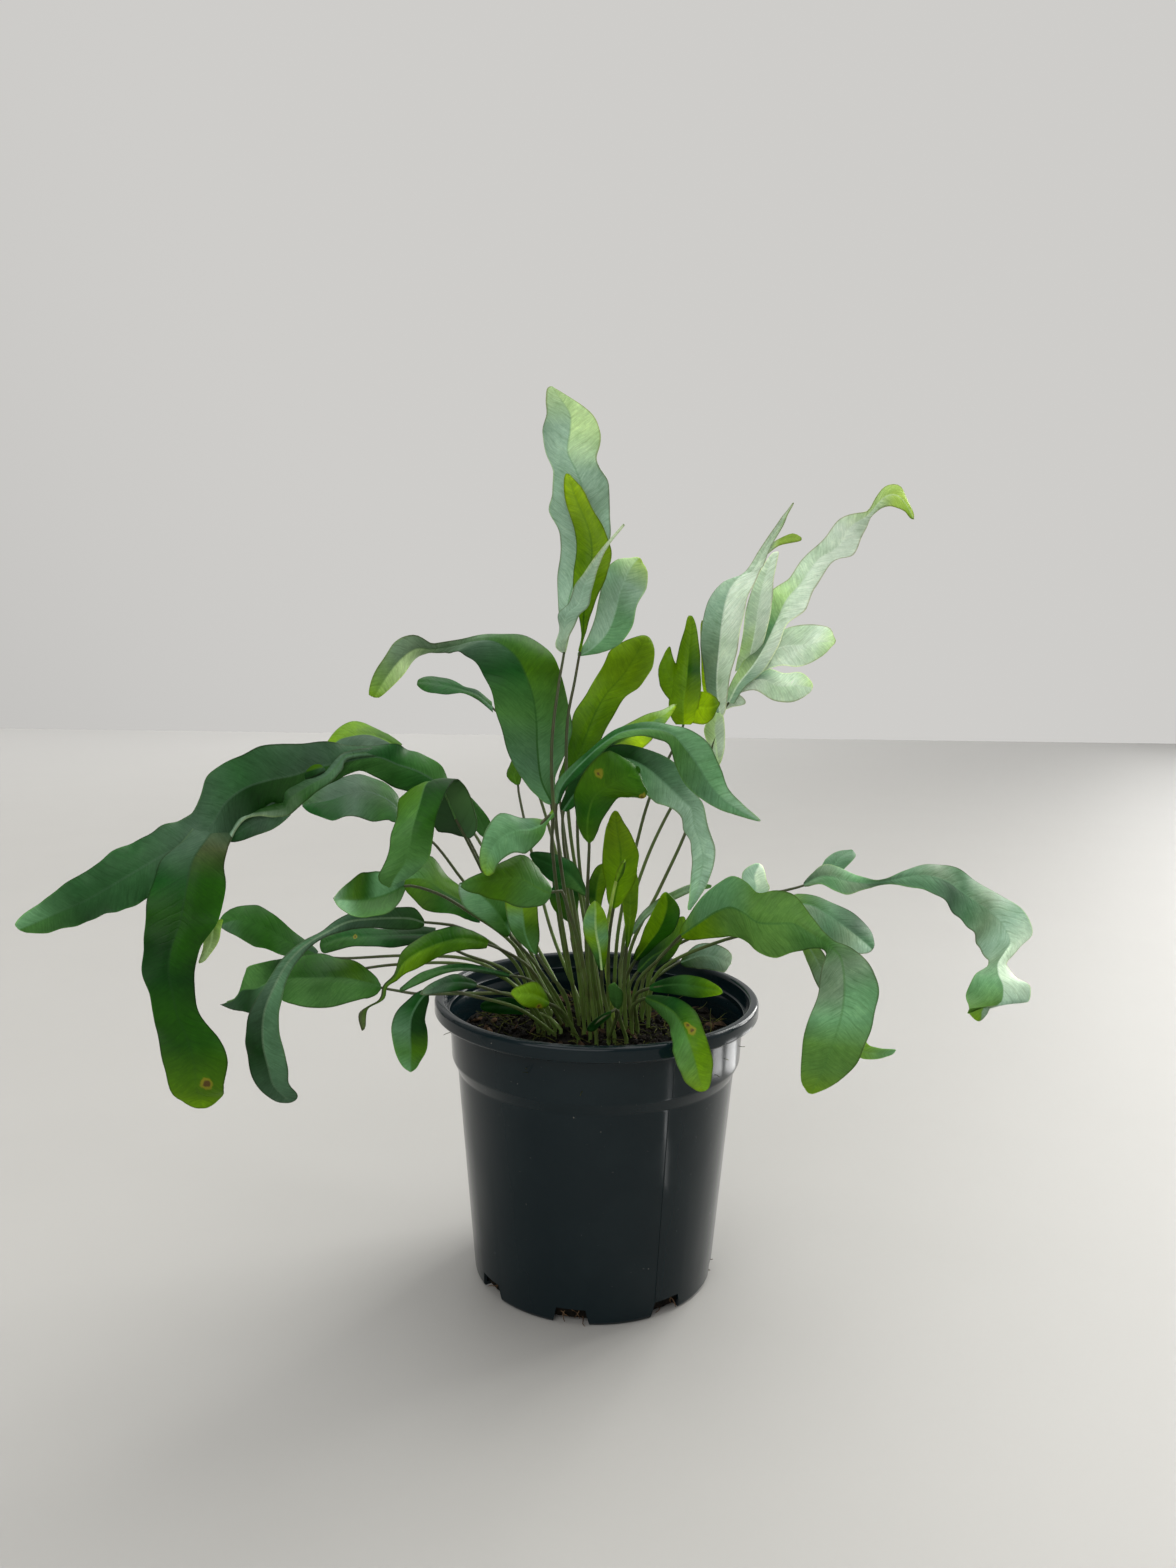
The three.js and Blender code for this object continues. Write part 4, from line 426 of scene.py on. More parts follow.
56.4 262.6 66.4 268.6 -18.5 0, 58.6 274.6 69.6 281 -14 1, 60.2 286.6 71 292 -11 2,
62.4 296.6 71.6 300 -9 1, 66.2 305.6 72.4 307 -7 0, 70 311.2 73.2 312 -6 0
milk pale pale milk fresh / pale pale milk pale fresh : milk
72 278.8 60.6 259.6 -17.5 0, 80.6 281.4 73 264.4 -19 1, 88.6 282.4 82.2 264.6 -19 2,
94.6 282 90.8 268.4 -17 2, 97.4 278 96.2 273 -15 0
grey sage milk milk fresh / milk milk pale pale pale : milk
61.4 261 55.4 252.4 -17.5 0, 70 263.8 64.6 254.8 -21 1, 77 262.6 72.6 250.6 -24 2,
83.4 263 81 250.4 -25 2, 88 259.6 87 253.2 -25 0
milk milk milk pale : milk
55 252 51 245.6 -17.5 0, 58 253 55.4 247.6 -20 0, 61 250.6 59.4 248.4 -22 0

frond_right_top_curled pale 3 -2 0.2 -45 0.3 0
14 140 -9, 27 170 -11, 36.5 192 -12, 43 212 -12, 48 232 -11
sage grey sage pale pale / milk pale milk milk pale fresh : milk
49.8 243.8 51.8 243.6 -9 0, 44.4 255 54.2 258 -8 2, 42.6 267 57 273 -7 2, 42 279 60 288 -4 4,
43.8 291.8 63 298.6 -2 4, 50.4 299.6 65.4 304.2 -1 2, 59.2 303.8 67.2 307 0 0,
65.2 313.4 70 315 1 -2, 71.6 323 74.6 323.2 2 -2, 75.4 328.6 76.4 327.6 3 0,
78.2 332.4 78.6 331.8 4 0
pale spring spring spring
68.6 311.4 69.4 315.4 1 0, 73 314.8 73.6 318 -1 0, 78 316 78.4 320 -3 0, 82 317 81.6 319 -4 0
acid lime lime lime acid
47.4 243.4 50.2 243.8 -9.2 0, 44.2 250.4 50.2 251 -11 0, 42.6 259 48.8 260.4 -13 0,
41.8 270.4 46.2 271.2 -13 0, 41.6 282.8 42.6 283.2 -12 0
fresh pale fresh fresh fresh / fresh pale pale pale fresh
49.6 222.2 50.8 222.6 -11 0, 46 231.2 52.8 230.6 -10.8 0, 44 238 53 238.6 -10.2 0,
47 244.6 51.6 244.6 -9 0

frond_right_arch_front blue -1 4 0.15 45 0 -0.3
-8 132 26, -14 165 32, -17.5 190 34
green deep deep green green sage / deep deep leaf leaf blue green : blue
-19 206 -17.6 205 35 0, -18.4 213 -14.6 210.4 36 4, -14 219.6 -10.6 215.6 37 6,
-8 226 -5 221.6 38 6, -1 232.2 1.6 228 38 6, 7 237.4 9 233.4 37 6, 15 239.8 16.6 235 36 6,
24 240.8 23.6 234 35 7, 32 239.8 29 231 35 8, 39.4 237.4 32 223 36 7, 46.4 231.4 35.6 216 37 5,
51.2 221.4 42 209 38 2, 55 213 50 204.6 39 0, 62 205.8 57.4 202 40 0, 68.8 199.8 67 199.2 41 0

frond_right_arch_back blue 0 4 0.15 15 0.2 -0.2
-5 130 18, -11 165 21, -15 188 22
ink ink ink blue sage sage blue / deep bottle green sage sage green
-16.6 203 -14 202 22 0, -13.6 212 -8.6 206 23 -2, -7 222.6 0 214 24 -4, 1 229 5 219 25 -4,
10 231 11 219.6 25 -2, 19 229.6 16 216 24 0, 27 227 19.6 210.6 24 3, 34 221 24.6 206 25 4,
39.6 212 31.6 203.6 26 3, 44.6 206.6 35.2 200.4 27 1, 46.4 199 36 194.6 28 -2,
48.4 190.6 39.4 189.4 29 -4, 50.2 183 40.4 181.6 30 -3, 48.6 175 39.6 172 31 0,
44.6 167 39.2 165 32 2, 40.4 160.6 39 160 33 0

frond_front_damaged olive 0 6 0.2 40 0.2 -0.3
-4.5 140 32, -4.6 165 38
olive bottle olive bottle
-5 189 -3.6 188.6 43 0, -8.6 195 -0.6 193.6 44 2, -10.6 203 3 201 46 3, -10.8 210 7.6 208.4 48 3,
-7.4 217 12 208.4 50 2, -2 224 17 207.6 52 0, 3.6 228.2 20 208.4 53 -2, 9.6 226 20.4 212 52 -2,
14 222.6 17.4 217 51 0

frond_lime_arch lime 0 1 0.15 -10 0 -0.5
-4 150 7, -9 190 9, -8 214 10
bottle ink grass grass fresh / ink ink lime leaf lime
-4.4 227 -3 224 11 0, 1.6 232.6 4.4 224.6 12 2, 7.6 237.4 12.6 226.6 13 3, 13 241.4 20 231 13 3,
19 244.4 25 237 13 2, 26 246 29 242.4 12 1, 31 248.6 31.8 247.4 11 0

frond_front_lime lime 1 4 0.12 25 0.4 0
5 130 24, 5 146 28
grass grass grass acid acid : olive
5.8 160.4 7.4 160 31 0, 3.4 168 12.6 166 32 1, 2.4 177 17 175.6 33 2, 2.4 186 17.6 184 34 1,
2.6 193 14.8 191 35 0, 4 198 11 197 36 -1, 6 202.2 8.4 201.6 37 0

frond_front_lime_back grass 2 3 0.12 5 -0.3 0
12 132 18
bottle grass grass grass
12.6 143 13.8 143 21 0, 12 150 15.4 151 22 0, 10.8 160 17.2 160 23 1, 9.8 168 17.3 168 24 1,
9 175 17 174 25 0, 10 181 14.6 180 26 0

frond_crozier fresh 1 3 0.1 25 0 0
3.5 140 19, 5.4 160 38, 7 169 40
grass apple apple grass / olive olive olive
7 172.4 8.6 171.6 41 0, 8 177 11 175.6 43 1, 10.4 180.8 11.6 180 45 0

frond_centre_oval fresh 1 5 0.15 25 0 -0.2
2.6 124 28
ink leaf apple green apple / deep grass green apple apple : fresh
1.4 132.6 2.8 132.6 36 0, -2.2 141 4.4 142 38 1, -5.6 148 5 149 40 1, -6.2 153.6 4.2 154.4 42 0,
-4.6 159 2.6 159.4 44 0, -2.4 162.4 0 162.4 45 0

frond_small_upright blue 2 5 0.12 10 0 0
10 112 30
leaf leaf
8.4 115.4 9.6 115 33 0, 5.6 120.4 11.6 119 34 0, 5 125 11.4 123 35 0, 6.6 126.6 9.4 125.4 36 0

frond_small_low blue 1 6 0.12 12 0 -0.5
9 115.5 37
mid deep ink ink
6.6 114.6 6.4 112 41 0, 2.6 112.8 2.4 108.6 43 0, -0.6 110.6 -0.6 105.4 45 0,
-3.4 107.4 -2.6 105 46 0

frond_right_front_down mid 3 4 0.18 0 0 0
16 117 26
mid deep olive grass apple / mid leaf leaf meadow acid
22 121.6 21 119.4 34 0, 30 121.6 27 114 44 1, 37.6 119.6 31.6 108 54 2,
43.6 113.6 33.6 101.8 64 2, 48 104.6 34.2 95.6 70 2, 51 95 36.2 88.6 72 2, 51.2 87 39.6 83 72 1,
50.4 81 43.4 79.6 71 0

frond_right_front_short mid 3 3 0.15 20 0 -0.8
17 121.5 24
deep ink mid olive grass
23 126 23 124 32 0, 30 129.6 31 122.8 36 1, 37 131.2 38 121.8 40 2, 45 130 46 120.8 44 2,
51 127.4 51.4 121.8 47 1, 54.4 124.4 54 122.8 49 0

frond_right_pale_back pale 4 -2 0.15 -6 0 0
22 126 -12, 30 133 -17
olive sage sage pale / mid grey sage pale
36.6 138 36.6 135.6 -20 0, 44 145 43.6 134 -22 2, 51 145 50.4 133.4 -23 2,
57 142 55.4 132.4 -24 1, 58.4 137.4 57.6 135.6 -24 0

frond_right_big_fold grass 3 2 0.2 25 0 -0.25
18 128 12, 27 138 14
grass green green meadow meadow meadow leaf grey green green meadow meadow apple /
grass grass meadow meadow meadow leaf leaf grey grey green meadow meadow apple : leaf
35.6 150 36.8 147.4 16 0, 40 158 43 146.8 18 1, 45 165 50 148 21 2, 51 171 54.4 148.4 24 2,
57.4 175.2 59.6 147.8 26 2, 63.4 172.6 65 145.4 28 2, 69.4 168.4 70.6 141.4 30 3,
77 168.6 77.6 139.8 32 4, 85 166.6 85.2 142 34 3, 91.4 158.6 91.2 143.2 36 2,
97.4 151.6 96.6 143.4 38 1, 104 146.6 99.4 141.6 41 0, 113 142 99 137.4 43 -1,
120 134 96.6 129.4 45 -2, 122.4 122 95 119 46 -2, 121 108.8 92.8 109.6 46 -1,
116.2 95.8 90 99 45 0, 108.8 85.6 90 89 43 1, 99.4 79.4 92.2 80.6 41 0

frond_right_back_blue slate 4 0 0.18 -25 0 -0.6
26 137 7, 50 156 8, 66 161 8
grass leaf blue slate blue / grass grey blue grey sage
78 164 79 159 9 0, 86 168 86 157 11 1, 93.4 167.2 92 155.6 13 2, 101.6 163.6 98 150.4 15 2,
110.4 158.4 103.6 145.4 16 2, 117.4 153 109 141.6 17 1, 119.8 147.6 115 141.4 18 0

frond_right_sliver grass 4 1 0.15 5 0 0
26 131 8, 50 145 15, 76 151 19
grass grey grey apple green
88 147.4 90 149 21 0, 91 138 98 142 23 1, 95 129.6 103 133 25 1, 100 119.6 110 122 27 1,
106 108 116 111 29 1, 113 96.4 118.6 101.4 31 0, 122 94 124 99.4 32 0, 129 96 131 98.8 32 0

frond_right_pale_up pale 4 -1 0.15 -30 0 -0.5
24 136 -4, 45 150 -2, 58 158 0
leaf green sage sage sage / grass sage pale pale milk
63.6 163 66 161.6 2 0, 62 170 73.6 168.6 4 1, 61.6 176 72.4 173.4 6 2, 66.6 180.2 71 178.6 8 0

frond_far_right sage 3 -1 0.15 -50 0 -0.5
26 145 -9, 50 160 -4, 72 166.8 0
slate grey green slate blue grey blue grey sage pale pale sage grey /
grey green grey slate blue blue slate blue grey sage grey green meadow apple
88.4 172.4 89 170.8 3 0, 93 177.4 95.6 171.8 5 2, 98 180.4 102 169.6 7 3, 104 179.4 107 167.8 9 2,
111 176.4 112.4 169 11 0, 119 174.2 119.6 171.4 13 -2, 126 175.6 127 172.4 15 0,
133 178.8 134 171.6 17 3, 141 181.8 142 169 19 5, 149.4 180.8 149.6 165 21 6,
157 176.8 154.8 160 23 6, 165.4 173 159.2 154.4 25 4, 174 169 162.4 150.4 26 2,
182 162.4 165 147 27 0, 187.8 151.6 167.6 142.4 28 -2, 183 145.4 169.4 138.6 29 -3,
177.8 138.6 169.6 136.6 30 -2, 182.6 132 164.6 132.8 31 0, 188.2 127.4 162.2 126 32 2,
186.8 120.4 162 119 33 3, 173.6 119.6 162.8 115 34 2, 170.4 115 165.4 112.6 35 0
blue blue blue
95 177.6 104.6 177.6 7 0, 97.4 183 108.4 181.8 4 1, 102 186.2 110.4 184 2 1,
106.4 187 109.6 186.2 1 0

frond_right_dark deep 2 2 0.15 8 0.4 0
12 127 9
ink grass grass grass / ink bottle bottle olive
15.6 138 17.6 137 11 0, 18.4 145.4 26 144.2 12 1, 20.8 152 33 150.4 13 2,
23.4 158 35.2 156.6 14 1, 26 163.2 34.4 162 15 0, 28 167 31 166.4 16 0

frond_right_thin olive 2 1 0.1 -15 0 -0.4
10 135 3
slate grey olive grey leaf
14 150 16 149 3 0, 18.6 158 21 155.6 3 1, 24.6 163.4 26.6 160.4 2 1, 32 167.6 33.4 164.4 1 1,
39.6 171.2 41 168 0 0, 48 171.2 48 169.6 -1 0

frond_right_inner deep 3 0 0.12 -5 0 -0.5
14 125 0
ink ink olive grass
17.4 133.4 18.4 131.6 0 0, 22 142.6 25 134 0 1, 29 148 32 138.4 1 1, 34 155 37.4 147.6 2 1,
36.6 157 38.2 155 3 0

frond_front_small_lime grass -2 5 0.15 15 0 -0.6
-15 114 32
olive grass apple apple
-20.6 118.8 -20.6 116.6 38 0, -24 124.6 -25 115.2 41 1, -28 127.4 -30 115.6 44 1,
-33 125.6 -34 117.8 46 0, -37 122.6 -36.6 120.8 47 0

frond_left_inner deep -3 4 0.12 0 0 0
-21 111.5 16
ink ink
-31 115 -31 112.6 17 0, -36 119.6 -37 112.6 16 0, -43 120 -44 112.6 15 0,
-49.4 117.6 -49.4 114 14 0
"""


def read_rows(line):
    return np.array([row.split() for row in line.split(",")], float)


def read_fronds(text):
    """The fronds that the table holds."""
    fronds = []
    for block in text.strip().split("\n\n"):
        head, stem, *blades = block.replace(",\n", ", ").replace("/\n", "/ ").split("\n")
        name, tone, *values = head.split()
        numbers = [float(value) for value in values]
        fronds.append({"name": name, "tone": tone, "root": numbers[:2], "cup": numbers[2],
                       "reach": numbers[3], "slope": numbers[4:], "stem": read_rows(stem),
                       "tones": blades[::2], "blades": [read_rows(rows) for rows in blades[1::2]]})
    return fronds


def place(across, up, front):
    """A point in millimetres that is seen at (across, up) and lies front of the axis."""
    nearer = 1 - front / EYE_DISTANCE
    return np.stack([EYE_ACROSS + (across - EYE_ACROSS) * nearer, -front,
                     EYE_HEIGHT + (up - EYE_HEIGHT) * nearer], -1)


def place_on(frond, across, up, front, sloped=True):
    """A point of a frond, which reaches further to the front the further it is from its root."""
    i, j = frond["root"]
    rows = np.concatenate(frond["blades"])
    far = np.hypot(rows[:, 0] - SPOT_ACROSS * i, rows[:, 1] - SOIL_EDGE).max()
    share = np.hypot(across - SPOT_ACROSS * i, up - SOIL_EDGE) / far
    depth = front + frond["reach"] * share ** REACH_POWER
    if sloped:
        foot = frond["blades"][0][0]
        depth = depth + frond["slope"][0] * (across - foot[0]) + frond["slope"][1] * (up - foot[1])
    return place(across, up, depth)


def soil_top(x, y):
    dome = SOIL_DOME * np.exp(-((np.hypot(x, y) / SOIL_DOME_SPREAD) ** 2))
    bumps = np.sin(0.31 * x + 1) * np.cos(0.27 * y) + 0.6 * np.sin(0.17 * x - 0.23 * y)
    return SOIL_EDGE + dome + SOIL_BUMP * bumps


def spline(points, at):
    """Catmull-Rom through the points, at fractions of the point count."""
    points = np.asarray(points, float)
    first = 2 * points[0] - points[1]
    last = 2 * points[-1] - points[-2]
    padded = np.vstack([first, points, last])
    i = np.clip(np.floor(at).astype(int), 0, len(points) - 2)
    t = (at - i)[:, None]
    p0, p1, p2, p3 = (padded[i + k] for k in range(4))
    return 0.5 * (2 * p1 + (p2 - p0) * t + (2 * p0 - 5 * p1 + 4 * p2 - p3) * t ** 2
                  + (3 * p1 - p0 - 3 * p2 + p3) * t ** 3)


def unit(v):
    return v / np.maximum(np.linalg.norm(v, axis=-1, keepdims=True), 1e-9)


def fine_rows(rows):
    """The rows of a blade, spaced evenly along it and closed by a rounded tip.

    The square of the width is what runs smoothly, so that the ends come out round.
    """
    centre = np.column_stack([(rows[:, 0] + rows[:, 2]) / 2, (rows[:, 1] + rows[:, 3]) / 2,
                              rows[:, 4:6]])
    half = (rows[:, 2:4] - rows[:, 0:2]) / 2
    width = np.linalg.norm(half, axis=1)
    ahead = unit(centre[-1:, :2] - centre[-2:-1, :2])[0]
    end = centre[-1].copy()
    end[:2] += ahead * width[-1] * TIP_REACH
    centre = np.vstack([centre, end])
    half = np.vstack([half, half[-1:]])
    square = np.append(width, width[-1] * TIP_WIDTH) ** 2
    gaps = np.linalg.norm(np.diff(centre[:, :2], axis=0), axis=1)
    reach = np.concatenate([[0], np.cumsum(gaps)])
    curl = min(width[-3:].max(), reach[-1] / 3)
    straight = reach[-1] - curl
    body = np.linspace(0, straight, max(LEAST_ROWS, int(straight / BLADE_STEP)))
    turn = np.linspace(0, np.pi / 2, TIP_STEPS)[1:]
    spots = np.concatenate([body, reach[-1] - curl * (1 - np.sin(turn))])
    at = np.interp(spots, reach, np.arange(len(centre)))
    fine = spline(centre, at)
    turn = unit(spline(unit(half), at))
    plain = np.interp(at, np.arange(len(square)), square)
    smooth = spline(square[:, None], at)[:, 0]
    least = (LEAST_SIDE * width.max()) ** 2 * LEAST_SQUARE
    across = np.sqrt(np.maximum(plain * (1 - SMOOTH_SIDES) + smooth * SMOOTH_SIDES, least))
    edge = turn * across[:, None]
    return np.column_stack([fine[:, :2] - edge, fine[:, :2] + edge, fine[:, 2:]]), spots


def blade_surface(frond, rows, rng, joined):
    """Grid of points, which way it faces, and the length, place across and half width of each."""
    fine, length = fine_rows(rows)
    if joined:
        fine[:, 4] -= JOINT_SUNK * np.clip(1 - length / JOINT_LENGTH, 0, 1)
    lean = fine[:, 5] / 2
    p = place_on(frond, fine[:, 0], fine[:, 1], fine[:, 4] - lean)
    q = place_on(frond, fine[:, 2], fine[:, 3], fine[:, 4] + lean)
    along = unit(np.gradient((p + q) / 2, axis=0))
    normal = unit(np.cross(q - p, along))
    facing = -1.0 if normal[:, 1].sum() > 0 else 1.0
    half = np.linalg.norm(q - p, axis=1) / 2
    v = np.linspace(-1, 1, BLADE_ACROSS + 1)
    v = np.sign(v) * np.abs(v) ** COLUMN_POWER
    grid = p[:, None] + (q - p)[:, None] * ((v + 1) / 2)[None, :, None]
    across = v[None, :] * half[:, None]
    arch = frond["cup"] * half[:, None] * (1 - v ** 2)[None, :]
    groove = -GROOVE_DEPTH * np.exp(-(across / GROOVE_WIDTH) ** 2)

    # The waves of the two sides are out of step, and so are the dents
    turn = 2 * np.pi * length / rng.uniform(*WAVE_LENGTH)
    phase = rng.uniform(0, 2 * np.pi, 4)
    ends = np.clip(np.minimum(length, length[-1] - length) / CALM_END, 0, 1)
    size = np.minimum(half * WAVE_SHARE, WAVE_MOST) * ends
    left = np.sin(turn + phase[0]) + 0.35 * np.sin(2.3 * turn + phase[2])
    right = np.sin(turn * 1.13 + phase[1]) + 0.35 * np.sin(2.6 * turn + phase[3])
    wave = np.where(v[None, :] < 0, left[:, None], right[:, None])
    ripple = wave * size[:, None] * np.abs(v[None, :]) ** WAVE_POWER
    dents = np.sin(length[:, None] / 6.5 + phase[0]) * np.cos(across / 4.5 + phase[1])
    dents = dents + 0.7 * np.sin(length[:, None] / 3.9 + np.abs(across) / 5 + phase[2])
    ripple = ripple + DENT * dents * ends[:, None] * np.abs(v[None, :])
    lift = facing * (arch + groove) + ripple
    grid = grid + normal[:, None] * lift[..., None]
    sway = np.roll(wave, SWAY_LAG, 0) * size[:, None] * SWAY_SHARE * np.abs(v[None, :]) ** 3
    grid = grid + unit(q - p)[:, None] * (np.sign(v)[None, :] * sway)[..., None]
    return grid, facing, np.broadcast_to(length[:, None], across.shape), across, half


def grid_normals(grid):
    du = np.gradient(grid, axis=0)
    dv = np.gradient(grid, axis=1)
    return unit(np.cross(dv, du))


def face_outwards(mesh):
    work = bmesh.new()
    work.from_mesh(mesh)
    bmesh.ops.recalc_face_normals(work, faces=work.faces)
    work.to_mesh(mesh)
    work.free()


def finish_mesh(name, mesh, sharp):
    """Links a piece with this mesh, smooth but for edges sharper than an angle."""
    face_outwards(mesh)
    mesh.polygons.foreach_set("use_smooth", [True] * len(mesh.polygons))
    mesh.set_sharp_from_angle(angle=math.radians(sharp))
    piece = bpy.data.objects.new(name, mesh)
    bpy.context.scene.collection.objects.link(piece)
    return piece


def new_piece(name, verts, faces, material, sharp=SHARP):
    mesh = bpy.data.meshes.new(name)
    mesh.from_pydata((np.asarray(verts) * MM).tolist(), [], faces)
    mesh.materials.append(material)
    return finish_mesh(name, mesh, sharp)


def joined_up(parts):
    """One mesh of several, each given as its points and faces."""
    verts, faces, total = [], [], 0
    for points, shape in parts:
        verts.append(points.reshape(-1, 3))
        faces += [tuple(i + total for i in face) for face in shape]
        total += len(verts[-1])
    return np.concatenate(verts), faces


class Leafage:
    """Vertices, faces and attributes of one frond."""

    def __init__(self):
        self.parts, self.slots = [], []
        self.data = {name: [] for name in ("long", "wide", "edge", "under", "spot", "line")}
        self.colours = {name: [] for name in ("tint", "other", "rib")}

    def add(self, verts, faces, slot, tint, other=None, rib=None, **values):
        self.parts.append((verts, faces))
        self.slots += [slot] * len(faces)
        total = verts.reshape(-1, 3).shape[0]
        for name, store in self.data.items():
            value = np.asarray(values.get(name, 0.0), float)
            store.append(np.broadcast_to(value, (total,)) if value.ndim == 0 else value.reshape(-1))
        for name, value in (("tint", tint), ("other", other), ("rib", rib)):
            value = np.asarray(tint if value is None else value)
            self.colours[name].append(np.broadcast_to(value, (total, 3)) if value.ndim == 1
                                      else value.reshape(-1, 3))

    def build(self, name, materials):
        verts, faces = joined_up(self.parts)
        mesh = bpy.data.meshes.new(name)
        mesh.from_pydata((verts * MM).tolist(), [], faces)
        for material in materials:
            mesh.materials.append(material)
        mesh.polygons.foreach_set("material_index", self.slots)
        for key, store in self.data.items():
            layer = mesh.attributes.new(key, "FLOAT", "POINT")
            layer.data.foreach_set("value", np.concatenate(store).astype(np.float32))
        for key, store in self.colours.items():
            layer = mesh.attributes.new(key, "FLOAT_COLOR", "POINT")
            colours = np.concatenate(store)
            colours = np.column_stack([colours, np.ones(len(colours))])
            layer.data.foreach_set("color", colours.astype(np.float32).ravel())
        return finish_mesh(name, mesh, LEAF_SHARP)


def blend_tones(names, share):
    """Colour along a blade between its named tones."""
    colours = np.array([TONES[name] for name in names.split()])
    at = np.clip(share, 0, 1) * (len(colours) - 1)
    return np.stack([np.interp(at, np.arange(len(colours)), colours[:, k]) for k in range(3)], -1)


def blade_tints(tones, along):
    """Colours along the two sides of a blade, with the light and shade that falls on each side
    painted in.
    """
    sides = tones.split(":")[0].split("/")
    return blend_tones(sides[0], along), blend_tones(sides[-1], along)


def midrib_tone(tones):
    """The tone that a blade names for its midrib, or a slightly lighter one than its own."""
    if ":" in tones:
        return np.array(TONES[tones.split(":")[1].strip()])
    first = tones.split("/")[0].split()
    return np.array(TONES[tones.split()[len(first) // 2]]) * RIB_LIGHTER + RIB_LIFT


def grid_quads(tall, wide):
    corners = (np.arange(tall - 1)[:, None] * wide + np.arange(wide - 1)).reshape(-1, 1)
    return [tuple(quad) for quad in (corners + [wide, wide + 1, 1, 0]).tolist()]


def grid_border(tall, wide):
    """Pairs of neighbours round the border of a grid."""
    total = tall * wide
    border = [(k, k + 1) for k in range(wide - 1)]
    border += [(i * wide + wide - 1, (i + 1) * wide + wide - 1) for i in range(tall - 1)]
    border += [(total - wide + k, total - wide + k - 1) for k in range(wide - 1, 0, -1)]
    return border + [(i * wide, (i - 1) * wide) for i in range(tall - 1, 0, -1)]


def spots_on(frond, grid):
    """How deep each point lies in one of the frond's brown spots."""
    eye = np.array([EYE_ACROSS, -EYE_DISTANCE, EYE_HEIGHT])
    seen = eye + (grid - eye) * (EYE_DISTANCE / (grid[..., 1] + EYE_DISTANCE))[..., None]
    spot = np.zeros(grid.shape[:2])
    for name, across, up, radius in SPOTS:
        if name == frond["name"]:
            far = np.hypot(seen[..., 0] - across, seen[..., 2] - up)
            spot = np.maximum(spot, np.clip(SPOT_SPREAD - far / radius, 0, 1))
    return spot


def add_blade(leafage, frond, rows, tones, rng, joined):
    grid, facing, length, across, half = blade_surface(frond, rows, rng, joined)
    normals = grid_normals(grid)
    share = np.abs(across) / np.maximum(half[:, None], 1e-6)
    thick = BLADE_THICK + (EDGE_THICK - BLADE_THICK) * share ** 3
    skin = normals * (facing * thick / 2)[..., None]
    tall, wide = grid.shape[:2]
    below = tall * wide
    quads = grid_quads(tall, wide)
    sides = [(a, a + below, b + below, b) for a, b in grid_border(tall, wide)]
    if facing < 0:
        quads, sides = [quad[::-1] for quad in quads], [side[::-1] for side in sides]
    faces = quads + [tuple(i + below for i in quad[::-1]) for quad in quads] + sides
    along = length / max(length.max(), 1e-6)
    patch = np.sin(length / rng.uniform(*PATCH_LENGTH) + rng.uniform(0, 6))
    patch = 1 + PATCHES * patch * np.cos(across / rng.uniform(*PATCH_WIDTH))
    first, other = (tint * patch[..., None] for tint in blade_tints(tones, along))
    edge = np.minimum(half[:, None] - np.abs(across), length.max() - length)
    bold = BOLD_RIB_LINE if ":" in tones else RIB_LINE
    line = bold * np.clip(RIB_LINE_END - along, 0, 1)
    leafage.add(np.stack([grid + skin, grid - skin]), faces, 0, np.stack([first] * 2),
                np.stack([other] * 2), midrib_tone(tones), long=np.stack([length] * 2),
                wide=np.stack([across] * 2), edge=np.stack([edge] * 2), line=np.stack([line] * 2),
                spot=np.stack([spots_on(frond, grid)] * 2), under=np.repeat([0.0, 1.0], below))
    return grid[:, wide // 2], normals[:, wide // 2] * facing


def ring_faces(rings, sides, first=0):
    """Quads between rings of points, the points numbered from first."""
    faces = []
    for i in range(rings - 1):
        for k in range(sides):
            a, b = first + i * sides + k, first + i * sides + (k + 1) % sides
            faces.append((a, b, b + sides, a + sides))
    return faces


def capped_faces(rings, sides):
    return ring_faces(rings, sides) + [tuple(range(sides))[::-1],
                                       tuple(range((rings - 1) * sides, rings * sides))]


def tube(points, radii, sides):
    """Rings round a line of points, with faces."""
    points = np.asarray(points, float)
    along = unit(np.gradient(points, axis=0))
    side = unit(np.cross(np.array([0, -1.0, 0]), along))
    other = np.cross(along, side)
    turn = (2 * np.pi * np.arange(sides) / sides)[None, :, None]
    ring = np.cos(turn) * side[:, None] + np.sin(turn) * other[:, None]
    verts = points[:, None] + ring * np.asarray(radii)[:, None, None]
    return verts, capped_faces(len(points), sides)


